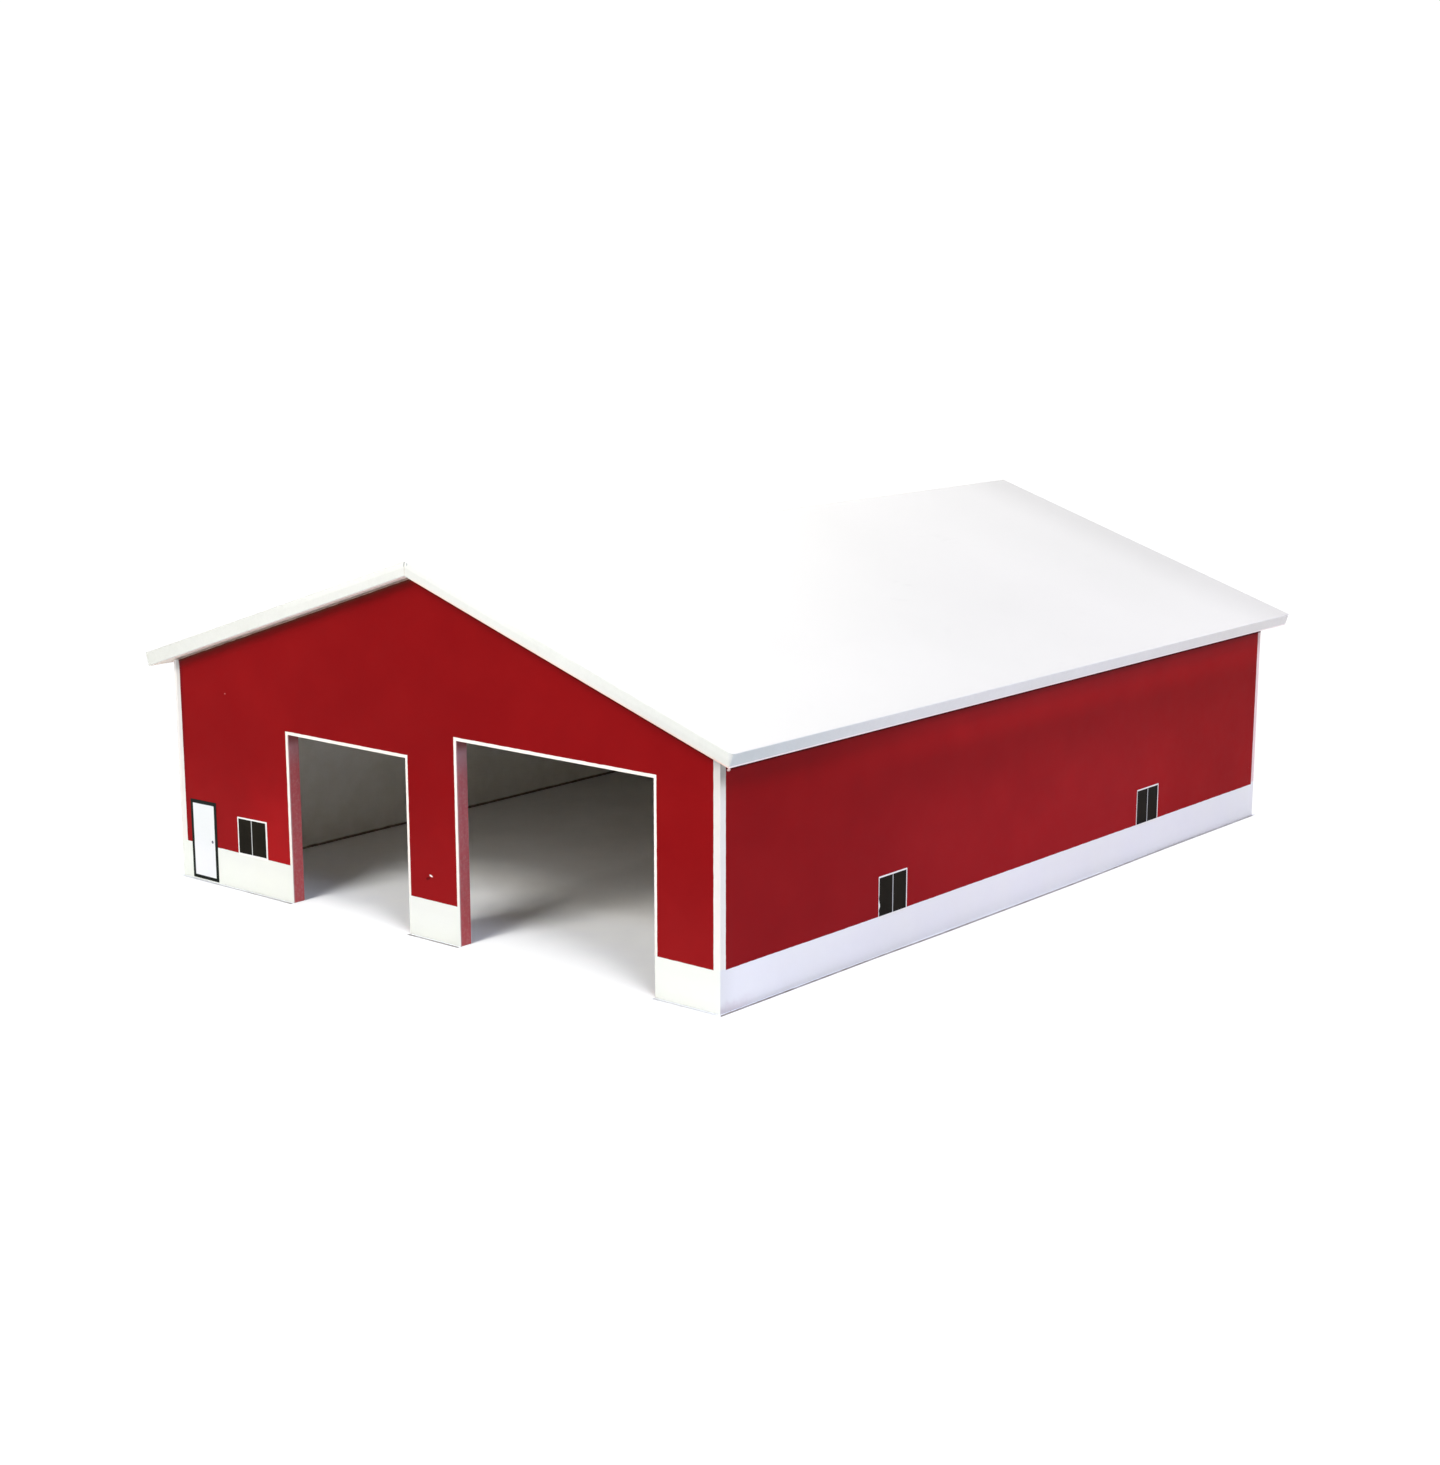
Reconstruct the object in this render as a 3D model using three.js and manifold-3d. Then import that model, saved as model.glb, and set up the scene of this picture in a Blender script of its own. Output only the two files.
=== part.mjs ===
// Toy garage shed of thin painted board: four walls with two open doorways, printed door and windows,
// and a lift-off gable roof held square by two gussets and a ridge batten. Millimetres, +Z up.
// X runs across the gable, Y runs along the ridge (the front gable faces -Y), z = 0 is the table.
// The origin is the centre of the whole outline's base.
import * as THREE from "three";
import { mergeVertices } from "three/addons/utils/BufferGeometryUtils.js";
import Module from "manifold-3d";

// ---------------------------------------------------------------- driving dimensions
const WALL_WIDTH = 285.75; // across the gable, outside the boards
const WALL_LENGTH = 374.82; // along the ridge, outside the boards
const BOARD = 5.5; // wall board thickness
const SLOPE = 0.32558; // roof rise over run (18 degrees)
const EAVE_PLANE = 89.6; // height of the roof's underside over a side wall's outer face
const ROOF_BOARD = 5.1; // roof board thickness, square to the slope
const LEFT_TAPER = 0.55; // how much deeper the left roof board is at its eave than at the ridge
const EAVE_OVERHANG = { left: 9.0, right: 8.3 }; // from a side wall to the roof's lower edge, level
const FRONT_OVERHANG = 5.65;
const REAR_OVERHANG = 7.22;
const RIDGE_JOINT = 0.05; // half of the open glue line at the ridge
const SEAT_GAP = 0.3; // side wall top to roof underside
const GABLE_GAP = 0.6; // gable top to roof underside
const LEFT_GABLE_GAP = 0.35; // the same on the front gable's left slope

// doorways, both cut down to the table
const SMALL_DOOR = { left: -74.64, right: -8.67, top: 67.28 };
const LARGE_DOOR = { left: 18.46, right: 113.57, top: 77.39 };

// prints, thin stickers on the walls
const PRINT = 0.12; // sticker thickness
const ENTRY_DOOR = [[-136.3, 0.45], [-120.3, 0.45], [-120.15, 33.35], [-136.3, 33.05]]; // set slightly askew
const FRONT_WINDOW = { left: -107.1, right: -89.2, bottom: 14.4, top: 30.3 };
const SIDE_WINDOW = { width: 17.5, bottom: 13.8, top: 29.6, fromFront: [89.25, 271.3] };

// roof's inner pieces
const GUSSET = 5.5; // gusset thickness
const GUSSET_BOTTOM = 82; // height of the gusset's lower edge
const GUSSET_PLAY = 1.0; // from a gusset to the wall that it drops beside
const GLUE_LINE = 0.08; // roof board to gusset or batten
const BATTEN_HALF = 9; // half width of the ridge batten
const BATTEN_DEPTH = 7; // from the ridge's underside down to its flat

// fasteners
const BRAD_R = 0.6;
const BRAD_HEAD_R = 0.95;
const BRAD_HEAD = 0.4;
const BRAD_LENGTH = 19;
const BRAD_SET = 0.6; // head set below the face
const BRAD_PLAY = 0.06;
const CORNER_BRADS_Z = [18, 48, 78];
const ROOF_BRADS_X = [26, 74, 122];

// ---------------------------------------------------------------- derived places
const HW = WALL_WIDTH / 2;
const ROOF_LENGTH = WALL_LENGTH + FRONT_OVERHANG + REAR_OVERHANG;
const ROOF_FRONT = -ROOF_LENGTH / 2;
const ROOF_REAR = ROOF_LENGTH / 2;
const FRONT = ROOF_FRONT + FRONT_OVERHANG; // front gable's outer face
const REAR = ROOF_REAR - REAR_OVERHANG; // rear gable's outer face
const C = 1 / Math.hypot(1, SLOPE); // cosine of the roof angle
const S = SLOPE * C; // sine of the roof angle
const pitch = (x) => EAVE_PLANE + (HW - Math.abs(x)) * SLOPE;
const under = (x) => pitch(x) + (Math.min(x, 0) * LEFT_TAPER) / (HW + EAVE_OVERHANG.left); // roof's underside
const over = (x) => pitch(x) + ROOF_BOARD / C; // roof's upper face

// ---------------------------------------------------------------- finishes
const finish = (color, roughness, metalness = 0) =>
  new THREE.MeshStandardMaterial({ color, roughness, metalness });
const redWall = () => finish(0x911619, 0.45);
const whiteRoof = () => finish(0xf2f2ec, 0.5);
const rawBoard = () => finish(0xb99b74, 0.8);
const printBlack = () => finish(0x202220, 0.4);
const printWhite = () => finish(0xf4f4ef, 0.4);
const steel = () => finish(0xa8a9ab, 0.35, 1.0);

// ---------------------------------------------------------------- solids
const wasm = await Module();
wasm.setup();

function toSolid(geometry) {
  const g = geometry.clone();
  g.deleteAttribute("normal");
  g.deleteAttribute("uv");
  const m = mergeVertices(g, 1e-4);
  return new wasm.Manifold(
    new wasm.Mesh({
      numProp: 3,
      vertProperties: new Float32Array(m.attributes.position.array),
      triVerts: new Uint32Array(m.index.array),
    }),
  );
}

function toGeometry(solid) {
  const m = solid.getMesh();
  const g = new THREE.BufferGeometry();
  g.setAttribute("position", new THREE.BufferAttribute(new Float32Array(m.vertProperties), 3));
  g.setIndex(new THREE.BufferAttribute(new Uint32Array(m.triVerts), 1));
  const flat = g.toNonIndexed();
  flat.computeVertexNormals();
  return flat;
}

// a board whose outline lies in the X-Z plane, from y0 to y1
function boardXZ(outline, y0, y1) {
  const shape = new THREE.Shape(outline.map(([x, z]) => new THREE.Vector2(x, z)));
  const g = new THREE.ExtrudeGeometry(shape, { depth: y1 - y0, bevelEnabled: false });
  // (x, y, z) -> (x, -z, y), then shifted so that it spans y0..y1
  g.applyMatrix4(new THREE.Matrix4().set(1, 0, 0, 0, 0, 0, -1, y1, 0, 1, 0, 0, 0, 0, 0, 1));
  return g;
}

// a board whose outline lies in the Y-Z plane, from x0 to x1
function boardYZ(outline, x0, x1) {
  const shape = new THREE.Shape(outline.map(([y, z]) => new THREE.Vector2(y, z)));
  const g = new THREE.ExtrudeGeometry(shape, { depth: x1 - x0, bevelEnabled: false });
  // (x, y, z) -> (z, x, y)
  g.applyMatrix4(new THREE.Matrix4().set(0, 0, 1, x0, 1, 0, 0, 0, 0, 1, 0, 0, 0, 0, 0, 1));
  return g;
}

const rectangle = (a0, b0, a1, b1) => [[a0, b0], [a1, b0], [a1, b1], [a0, b1]];

// a brad's body of revolution along +Y, its head's outer face at the origin, growing by `grow` all round
function bradProfile(grow, open = 0) {
  const r = BRAD_R + grow;
  const h = BRAD_HEAD_R + grow;
  const pts = [
    [0, -open - (grow > 0 ? 0.01 : 0)],
    [h, -open - (grow > 0 ? 0.01 : 0)],
    [h, BRAD_HEAD + grow],
    [r, BRAD_HEAD + grow],
    [r, BRAD_LENGTH - 1.2],
    [0, BRAD_LENGTH + grow],
  ];
  return new THREE.LatheGeometry(pts.map(([x, y]) => new THREE.Vector2(x, y)), 10);
}

// turns the brad from its own frame (along +Y) to a place and direction
function bradMatrix(place, direction) {
  const q = new THREE.Quaternion().setFromUnitVectors(
    new THREE.Vector3(0, 1, 0),
    new THREE.Vector3(...direction).normalize(),
  );
  return new THREE.Matrix4().compose(new THREE.Vector3(...place), q, new THREE.Vector3(1, 1, 1));
}

// ---------------------------------------------------------------- the brads' places
const brads = [];
for (const [side, sx] of [["left", -1], ["right", 1]]) {
  CORNER_BRADS_Z.forEach((z, i) => {
    brads.push({
      name: `corner_brad_front_${side}_${i + 1}`,
      into: ["front_wall", `${side}_wall`],
      m: bradMatrix([sx * (HW - BOARD / 2), FRONT + BRAD_SET, z], [0, 1, 0]),
      group: "walls",
    });
    brads.push({
      name: `corner_brad_rear_${side}_${i + 1}`,
      into: ["rear_wall", `${side}_wall`],
      m: bradMatrix([sx * (HW - BOARD / 2), REAR - BRAD_SET, z], [0, -1, 0]),
      group: "walls",
    });
  });
  ROOF_BRADS_X.forEach((x, i) => {
    // the head lies BRAD_SET under the upper face, and the brad runs square to the slope
    const top = [sx * x - sx * S * BRAD_SET, over(x) - C * BRAD_SET];
    const dir = [-sx * S, 0, -C];
    for (const [end, y] of [
      ["front", FRONT + BOARD + GUSSET_PLAY + GUSSET / 2],
      ["rear", REAR - BOARD - GUSSET_PLAY - GUSSET / 2],
    ]) {
      brads.push({
        name: `roof_brad_${end}_${side}_${i + 1}`,
        into: [`roof_board_${side}`, `roof_gusset_${end}`],
        m: bradMatrix([top[0], y, top[1]], dir),
        group: "roof",
      });
    }
  });
}
const boreFor = (brad) => toSolid(bradProfile(BRAD_PLAY, BRAD_SET + 1)).transform([...brad.m.elements]);

// ---------------------------------------------------------------- the assembly
const shed = new THREE.Group();
shed.name = "shed";
const walls = new THREE.Group();
const roof = new THREE.Group();
shed.add(walls, roof);

function add(group, name, geometry, material) {
  const mine = brads.filter((b) => b.into.includes(name));
  let g = geometry;
  if (mine.length) {
    let solid = toSolid(geometry);
    for (const b of mine) solid = solid.subtract(boreFor(b));
    g = toGeometry(solid);
  }
  const mesh = new THREE.Mesh(g, material);
  mesh.name = name;
  group.add(mesh);
  return mesh;
}

// Front gable: full width, notched from below by the two doorways.
const gableTop = (x) => under(x) - GABLE_GAP;
const closeTop = (x) => under(x) - LEFT_GABLE_GAP;
add(
  walls,
  "front_wall",
  boardXZ(
    [
      [-HW, 0],
      [SMALL_DOOR.left, 0],
      [SMALL_DOOR.left, SMALL_DOOR.top],
      [SMALL_DOOR.right, SMALL_DOOR.top],
      [SMALL_DOOR.right, 0],
      [LARGE_DOOR.left, 0],
      [LARGE_DOOR.left, LARGE_DOOR.top],
      [LARGE_DOOR.right, LARGE_DOOR.top],
      [LARGE_DOOR.right, 0],
      [HW, 0],
      [HW, gableTop(HW)],
      [0, closeTop(0)],
      [-HW, closeTop(-HW)],
    ],
    FRONT,
    FRONT + BOARD,
  ),
  redWall(),
);

// Rear gable: the same outline with no doorway.
add(
  walls,
  "rear_wall",
  boardXZ(
    [[-HW, 0], [HW, 0], [HW, gableTop(HW)], [0, gableTop(0)], [-HW, gableTop(-HW)]],
    REAR - BOARD,
    REAR,
  ),
  redWall(),
);

// Side walls: butted between the gables, their top edges bevelled to the roof.
for (const [side, sx] of [["left", -1], ["right", 1]]) {
  const outer = sx * HW;
  const inner = sx * (HW - BOARD);
  const section = [
    [outer, 0],
    [outer, under(outer) - SEAT_GAP],
    [inner, under(inner) - SEAT_GAP],
    [inner, 0],
  ];
  if (sx > 0) section.reverse();
  add(walls, `${side}_wall`, boardXZ(section, FRONT + BOARD, REAR - BOARD), redWall());
}

// Prints on the front wall.
add(
  walls,
  "entry_door_print",
  boardXZ(ENTRY_DOOR, FRONT - PRINT, FRONT),
  printWhite(),
);
add(
  walls,
  "front_window_print",
  boardXZ(
    rectangle(FRONT_WINDOW.left, FRONT_WINDOW.bottom, FRONT_WINDOW.right, FRONT_WINDOW.top),
    FRONT - PRINT,
    FRONT,
  ),
  printBlack(),
);

// Prints on the side walls, two on each.
for (const [side, x0, x1] of [
  ["right", HW, HW + PRINT],
  ["left", -HW - PRINT, -HW],
]) {
  SIDE_WINDOW.fromFront.forEach((d, i) => {
    add(
      walls,
      `${side}_window_print_${i ? "rear" : "front"}`,
      boardYZ(
        rectangle(
          FRONT + d,
          SIDE_WINDOW.bottom,
          FRONT + d + SIDE_WINDOW.width,
          SIDE_WINDOW.top,
        ),
        x0,
        x1,
      ),
      printBlack(),
    );
  });
}

// Roof boards: square-cut at the eave, mitred upright at the ridge. The left one deepens towards its eave.
for (const [side, sx] of [["left", -1], ["right", 1]]) {
  const xe = HW + EAVE_OVERHANG[side];
  const ze = EAVE_PLANE - EAVE_OVERHANG[side] * SLOPE;
  const section = [
    [sx * RIDGE_JOINT, under(sx * RIDGE_JOINT)],
    [sx * xe, under(sx * xe)],
    [sx * (xe + ROOF_BOARD * S), ze + ROOF_BOARD * C],
    [sx * RIDGE_JOINT, over(RIDGE_JOINT)],
  ];
  if (sx < 0) section.reverse();
  add(roof, `roof_board_${side}`, boardXZ(section, ROOF_FRONT, ROOF_REAR), whiteRoof());
}

// Gussets: they hold the roof boards at their angle, and drop between the walls.
const gussetHalf = HW - BOARD - GUSSET_PLAY;
const glued = (x) => under(x) - GLUE_LINE;
for (const [end, y0] of [
  ["front", FRONT + BOARD + GUSSET_PLAY],
  ["rear", REAR - BOARD - GUSSET_PLAY - GUSSET],
]) {
  add(
    roof,
    `roof_gusset_${end}`,
    boardXZ(
      [
        [-gussetHalf, GUSSET_BOTTOM],
        [gussetHalf, GUSSET_BOTTOM],
        [gussetHalf, glued(gussetHalf)],
        [0, glued(0)],
        [-gussetHalf, glued(-gussetHalf)],
      ],
      y0,
      y0 + GUSSET,
    ),
    rawBoard(),
  );
}

// Ridge batten: a five-sided strip under the mitre, from gusset to gusset.
add(
  roof,
  "ridge_batten",
  boardXZ(
    [
      [-BATTEN_HALF + 2, glued(0) - BATTEN_DEPTH],
      [BATTEN_HALF - 2, glued(0) - BATTEN_DEPTH],
      [BATTEN_HALF, glued(BATTEN_HALF) - 1.2],
      [BATTEN_HALF, glued(BATTEN_HALF)],
      [0, glued(0)],
      [-BATTEN_HALF, glued(-BATTEN_HALF)],
      [-BATTEN_HALF, glued(-BATTEN_HALF) - 1.2],
    ],
    FRONT + BOARD + GUSSET_PLAY + GUSSET,
    REAR - BOARD - GUSSET_PLAY - GUSSET,
  ),
  rawBoard(),
);

// Brads, each set in its own bore.
for (const b of brads) {
  const mesh = new THREE.Mesh(bradProfile(0), steel());
  mesh.name = b.name;
  mesh.applyMatrix4(b.m);
  (b.group === "walls" ? walls : roof).add(mesh);
}

export default shed;
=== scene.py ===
import math

import bmesh
import bpy
from mathutils import Matrix, Vector


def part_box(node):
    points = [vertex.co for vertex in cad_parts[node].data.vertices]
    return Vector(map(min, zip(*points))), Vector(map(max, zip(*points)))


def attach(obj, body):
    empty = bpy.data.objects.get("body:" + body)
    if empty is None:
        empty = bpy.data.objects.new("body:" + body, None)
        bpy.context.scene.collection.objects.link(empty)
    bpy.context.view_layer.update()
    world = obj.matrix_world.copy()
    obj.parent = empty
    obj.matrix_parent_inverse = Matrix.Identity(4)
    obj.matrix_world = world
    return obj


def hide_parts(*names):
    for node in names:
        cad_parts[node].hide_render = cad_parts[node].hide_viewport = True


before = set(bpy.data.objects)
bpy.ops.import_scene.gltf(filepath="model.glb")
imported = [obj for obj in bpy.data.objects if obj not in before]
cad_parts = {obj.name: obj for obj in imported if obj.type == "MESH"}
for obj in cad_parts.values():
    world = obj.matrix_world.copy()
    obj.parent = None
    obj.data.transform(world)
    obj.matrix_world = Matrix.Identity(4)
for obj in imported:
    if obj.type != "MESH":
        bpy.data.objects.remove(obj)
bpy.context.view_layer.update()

MM = 0.001

# ---------------------------------------------------------------- places read from the frame
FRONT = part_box("front_wall")[0].y
FRONT_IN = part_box("front_wall")[1].y
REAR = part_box("rear_wall")[1].y
REAR_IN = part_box("rear_wall")[0].y
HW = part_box("front_wall")[1].x
HW_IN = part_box("right_wall")[0].x
ROOF_Y0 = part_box("roof_board_right")[0].y
ROOF_Y1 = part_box("roof_board_right")[1].y

# ---------------------------------------------------------------- the shed's own layout, as in the construction
SLOPE = 0.32558
COS = 1 / math.hypot(1, SLOPE)
SIN = SLOPE * COS
EAVE_PLANE = 89.6 * MM
ROOF_BOARD = 5.1 * MM
LEFT_TAPER = 0.55 * MM
EAVE_OVERHANG = {"left": 9.0 * MM, "right": 8.3 * MM}
GABLE_GAP = 0.6 * MM
LEFT_GABLE_GAP = 0.35 * MM
SMALL_DOOR = (-74.64 * MM, -8.67 * MM, 67.28 * MM)
LARGE_DOOR = (18.46 * MM, 113.57 * MM, 77.39 * MM)
BAND_TOP = 15.05 * MM
SIDE_BAND_DROP = 0.45 * MM
CORNER_TRIM = (3.55 * MM, 2.9 * MM)
SIDE_TRIM_FRONT = 2.9 * MM
SIDE_TRIM_REAR = 2.5 * MM
DOOR_TRIM = 1.27 * MM
ENTRY_DOOR = [(-0.1363, 0.00045), (-0.1203, 0.00045), (-0.12015, 0.03335), (-0.1363, 0.03305)]


def pitch_line(x):
    return EAVE_PLANE + (HW - abs(x)) * SLOPE


def under(x):
    return pitch_line(x) + min(x, 0.0) * LEFT_TAPER / (HW + EAVE_OVERHANG["left"])


def over(x):
    return pitch_line(x) + ROOF_BOARD / COS


# ---------------------------------------------------------------- finishes, linear colours
RED = (0.232, 0.0034, 0.0046)
WHITE = (0.806, 0.829, 0.787)
SIDE_WHITE = (0.835, 0.848, 0.862)
ROOF_WHITE = (0.872, 0.870, 0.828)
INNER_WHITE = (0.870, 0.868, 0.830)
RAW = (0.47, 0.34, 0.20)
RAW_DARK = (0.23, 0.145, 0.075)


class Graph:
    """A material's node tree, with short calls for the nodes that the finishes are made of."""

    def __init__(self, name):
        self.material = bpy.data.materials.new(name)
        self.material.use_nodes = True
        self.tree = self.material.node_tree
        self.tree.nodes.clear()
        self.out = self.node("ShaderNodeOutputMaterial")
        self.bsdf = self.node("ShaderNodeBsdfPrincipled")
        self.tree.links.new(self.bsdf.outputs[0], self.out.inputs["Surface"])
        coords = self.node("ShaderNodeTexCoord")
        self.place = coords.outputs["Object"]
        xyz = self.node("ShaderNodeSeparateXYZ")
        self.tree.links.new(self.place, xyz.inputs[0])
        self.x, self.y, self.z = xyz.outputs

    def node(self, kind, **values):
        n = self.tree.nodes.new(kind)
        for k, v in values.items():
            setattr(n, k, v)
        return n

    def put(self, socket, value):
        if isinstance(value, bpy.types.NodeSocket):
            self.tree.links.new(value, socket)
        elif isinstance(value, (tuple, list)) and len(value) == 3 and socket.type == "RGBA":
            socket.default_value = (*value, 1.0)
        else:
            socket.default_value = value

    def math(self, operation, a, b=None, c=None, clamp=False):
        n = self.node("ShaderNodeMath", operation=operation, use_clamp=clamp)
        for socket, value in zip(n.inputs, (a, b, c)):
            if value is not None:
                self.put(socket, value)
        return n.outputs[0]

    def rise(self, value, edge, soft):
        """0 below edge and 1 above it, with a ramp of twice soft."""
        n = self.node("ShaderNodeMapRange", interpolation_type="SMOOTHSTEP", clamp=True)
        self.put(n.inputs[0], value)
        n.inputs[1].default_value = edge - soft
        n.inputs[2].default_value = edge + soft
        n.inputs[3].default_value = 0.0
        n.inputs[4].default_value = 1.0
        return n.outputs[0]

    def fall(self, value, edge, soft):
        n = self.node("ShaderNodeMapRange", interpolation_type="SMOOTHSTEP", clamp=True)
        self.put(n.inputs[0], value)
        n.inputs[1].default_value = edge - soft
        n.inputs[2].default_value = edge + soft
        n.inputs[3].default_value = 1.0
        n.inputs[4].default_value = 0.0
        return n.outputs[0]

    def scaled(self, value, low, high, to_low, to_high, smooth=False):
        n = self.node("ShaderNodeMapRange", interpolation_type="SMOOTHSTEP" if smooth else "LINEAR", clamp=True)
        self.put(n.inputs[0], value)
        for i, v in enumerate((low, high, to_low, to_high)):
            n.inputs[i + 1].default_value = v
        return n.outputs[0]

    def both(self, *values):
        found = values[0]
        for v in values[1:]:
            found = self.math("MULTIPLY", found, v)
        return found

    def either(self, *values):
        found = values[0]
        for v in values[1:]:
            found = self.math("MAXIMUM", found, v)
        return found

    def inverse(self, value):
        return self.math("SUBTRACT", 1.0, value)

    def mix(self, share, a, b):
        n = self.node("ShaderNodeMix", data_type="RGBA", clamp_factor=True)
        self.put(n.inputs[0], share)
        self.put(n.inputs[6], a)
        self.put(n.inputs[7], b)
        return n.outputs[2]

    def times(self, colour, value):
        """A colour times a number."""
        n = self.node("ShaderNodeVectorMath", operation="SCALE")
        if isinstance(colour, bpy.types.NodeSocket):
            self.tree.links.new(colour, n.inputs[0])
        else:
            n.inputs[0].default_value = colour
        self.put(n.inputs["Scale"], value)
        return n.outputs[0]

    def tinted(self, colour, tint):
        """A colour times a tint, channel by channel."""
        n = self.node("ShaderNodeVectorMath", operation="MULTIPLY")
        self.tree.links.new(colour, n.inputs[0])
        n.inputs[1].default_value = tint
        return n.outputs[0]

    def stretched(self, scale, offset=(0, 0, 0), turn=(0, 0, 0)):
        n = self.node("ShaderNodeMapping", vector_type="POINT")
        self.tree.links.new(self.place, n.inputs["Vector"])
        n.inputs["Location"].default_value = offset
        n.inputs["Rotation"].default_value = turn
        n.inputs["Scale"].default_value = scale
        return n.outputs[0]

    def noise(self, scale, detail=2.0, roughness=0.5, distortion=0.0, vector=None, lacunarity=2.0):
        n = self.node("ShaderNodeTexNoise")
        self.put(n.inputs["Vector"], self.place if vector is None else vector)
        n.inputs["Scale"].default_value = scale
        n.inputs["Detail"].default_value = detail
        n.inputs["Roughness"].default_value = roughness
        n.inputs["Lacunarity"].default_value = lacunarity
        n.inputs["Distortion"].default_value = distortion
        return n.outputs[0]

    def cells(self, scale, vector=None, feature="F1", randomness=1.0):
        n = self.node("ShaderNodeTexVoronoi", feature=feature)
        self.put(n.inputs["Vector"], self.place if vector is None else vector)
        n.inputs["Scale"].default_value = scale
        n.inputs["Randomness"].default_value = randomness
        return n.outputs[0]

    def bump(self, height, distance, strength=1.0, normal=None):
        n = self.node("ShaderNodeBump")
        n.inputs["Strength"].default_value = strength
        n.inputs["Distance"].default_value = distance
        self.put(n.inputs["Height"], height)
        if normal is not None:
            self.tree.links.new(normal, n.inputs["Normal"])
        return n.outputs[0]

    def finish(self, colour, roughness, normal=None, specular=0.25, **constants):
        self.put(self.bsdf.inputs["Base Color"], colour)
        self.put(self.bsdf.inputs["Roughness"], roughness)
        self.bsdf.inputs["Specular IOR Level"].default_value = specular
        for k, v in constants.items():
            self.bsdf.inputs[k.replace("_", " ")].default_value = v
        if normal is not None:
            self.tree.links.new(normal, self.bsdf.inputs["Normal"])
        return self.material


def paint_detail(g, amount=1.0):
    """What every sprayed coat on the board has: slow drift in tone, fine mottling, and the board's fibre telegraphing through."""
    drift = g.noise(14, 2, 0.5)
    mottle = g.noise(210, 3, 0.6)
    grain = g.noise(1500, 2, 0.6)
    tone = g.math(
        "ADD",
        g.scaled(drift, 0.3, 0.7, 1 - 0.03 * amount, 1 + 0.03 * amount),
        g.math(
            "ADD",
            g.scaled(mottle, 0.25, 0.75, -0.016 * amount, 0.016 * amount),
            g.scaled(grain, 0.25, 0.75, -0.012 * amount, 0.012 * amount),
        ),
    )
    peel = g.noise(650, 2, 0.5, 0.3)
    fibre = g.noise(170, 3, 0.6)
    height = g.math("ADD", g.math("MULTIPLY", peel, 0.6), g.math("ADD", g.math("MULTIPLY", fibre, 1.2), g.math("MULTIPLY", grain, 0.35)))
    normal = g.bump(height, 0.000035, 0.55)
    return tone, normal, mottle


def painted_wall(name, white_share, red_share=1.0, low_glow=None, marks_and_shade=None, white_paint=WHITE, white_tone=None, painted_sheen=None, foot_shade=(0.22, (0.30, 0.29, 0.28), 0.00022), shades=(0.13, 0.30), open_edge=False):
    """Red paint with white band and trim, masked by white_share(graph) -> 0 red, 1 white."""
    g = Graph(name)
    tone, normal, mottle = paint_detail(g)
    white = white_share(g)
    warm = g.noise(46, 2, 0.5)
    # red: a little brighter and pinker where it is thin, deeper where it pooled
    base = tuple(c * red_share for c in RED)
    red = g.mix(g.scaled(warm, 0.35, 0.7, 0.0, 1.0), (base[0] * 0.97, base[1] * 0.9, base[2] * 0.95), (base[0] * 1.04, base[1] * 1.2, base[2] * 1.12))
    red = g.times(red, tone)
    if low_glow is not None:
        red = g.times(red, g.math("ADD", g.math("MULTIPLY", low_glow(g), 0.50), 1.0))
    # painted sheen: a faint pale veil mixed into the red, standing in for reflected light
    if painted_sheen is not None:
        red = g.mix(painted_sheen[0](g), red, painted_sheen[1])
    # white: clean, with a faint random tone and a painted contact shade along its foot
    foot = g.fall(g.math("ADD", g.z, g.scaled(g.noise(240, 3, 0.6), 0.3, 0.7, -0.0001, 0.0001)), foot_shade[2], foot_shade[2] * 0.4)
    cream = g.mix(g.scaled(warm, 0.35, 0.7, 0.0, 1.0), white_paint, (white_paint[0] * 1.01, white_paint[1] * 1.012, white_paint[2] * 0.985))
    cream = g.times(cream, g.scaled(tone, 0.94, 1.06, 0.975, 1.025))
    if white_tone is not None:
        cream = white_tone(g, cream)
    foot = g.both(foot, g.scaled(g.math("ABSOLUTE", g.x), 0.120, 0.142, foot_shade[0], foot_shade[0] * 0.75))
    cream = g.mix(foot, cream, foot_shade[1])
    colour = g.mix(white, red, cream)
    # a soft shade just under the roof line: it stands in for how the light falls there, and isn't a mark in the paint
    roof_line = g.math("ADD", g.math("MULTIPLY", g.math("SUBTRACT", HW, g.math("ABSOLUTE", g.x)), SLOPE), EAVE_PLANE)
    below = g.math("SUBTRACT", roof_line, g.z)
    shade = g.math("ADD", g.scaled(below, 0.0, 0.013, shades[0], 0.0, smooth=True), g.scaled(below, 0.0, 0.0045, shades[1], 0.0, smooth=True))
    shade = g.both(shade, g.inverse(g.math("MULTIPLY", white, 0.55)))
    if open_edge:
        shade = g.both(shade, g.rise(g.x, -HW + 0.0020, 0.0005))
    colour = g.times(colour, g.inverse(shade))
    # marks on the paint, and painted shade near the roof line
    if marks_and_shade is not None:
        colour = marks_and_shade(g, colour)
    rough = g.math("ADD", g.scaled(mottle, 0.3, 0.7, 0.40, 0.50), g.math("MULTIPLY", white, 0.04))
    return g.finish(colour, rough, normal, specular=0.03)


def wavering(g, value, amount=0.00006, scale=260):
    """A masked paint edge isn't perfectly straight: a coordinate with a few hundredths of a millimetre of drift."""
    return g.math("ADD", value, g.scaled(g.noise(scale, 2, 0.5), 0.3, 0.7, -amount, amount))


EDGE = 0.00004


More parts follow.
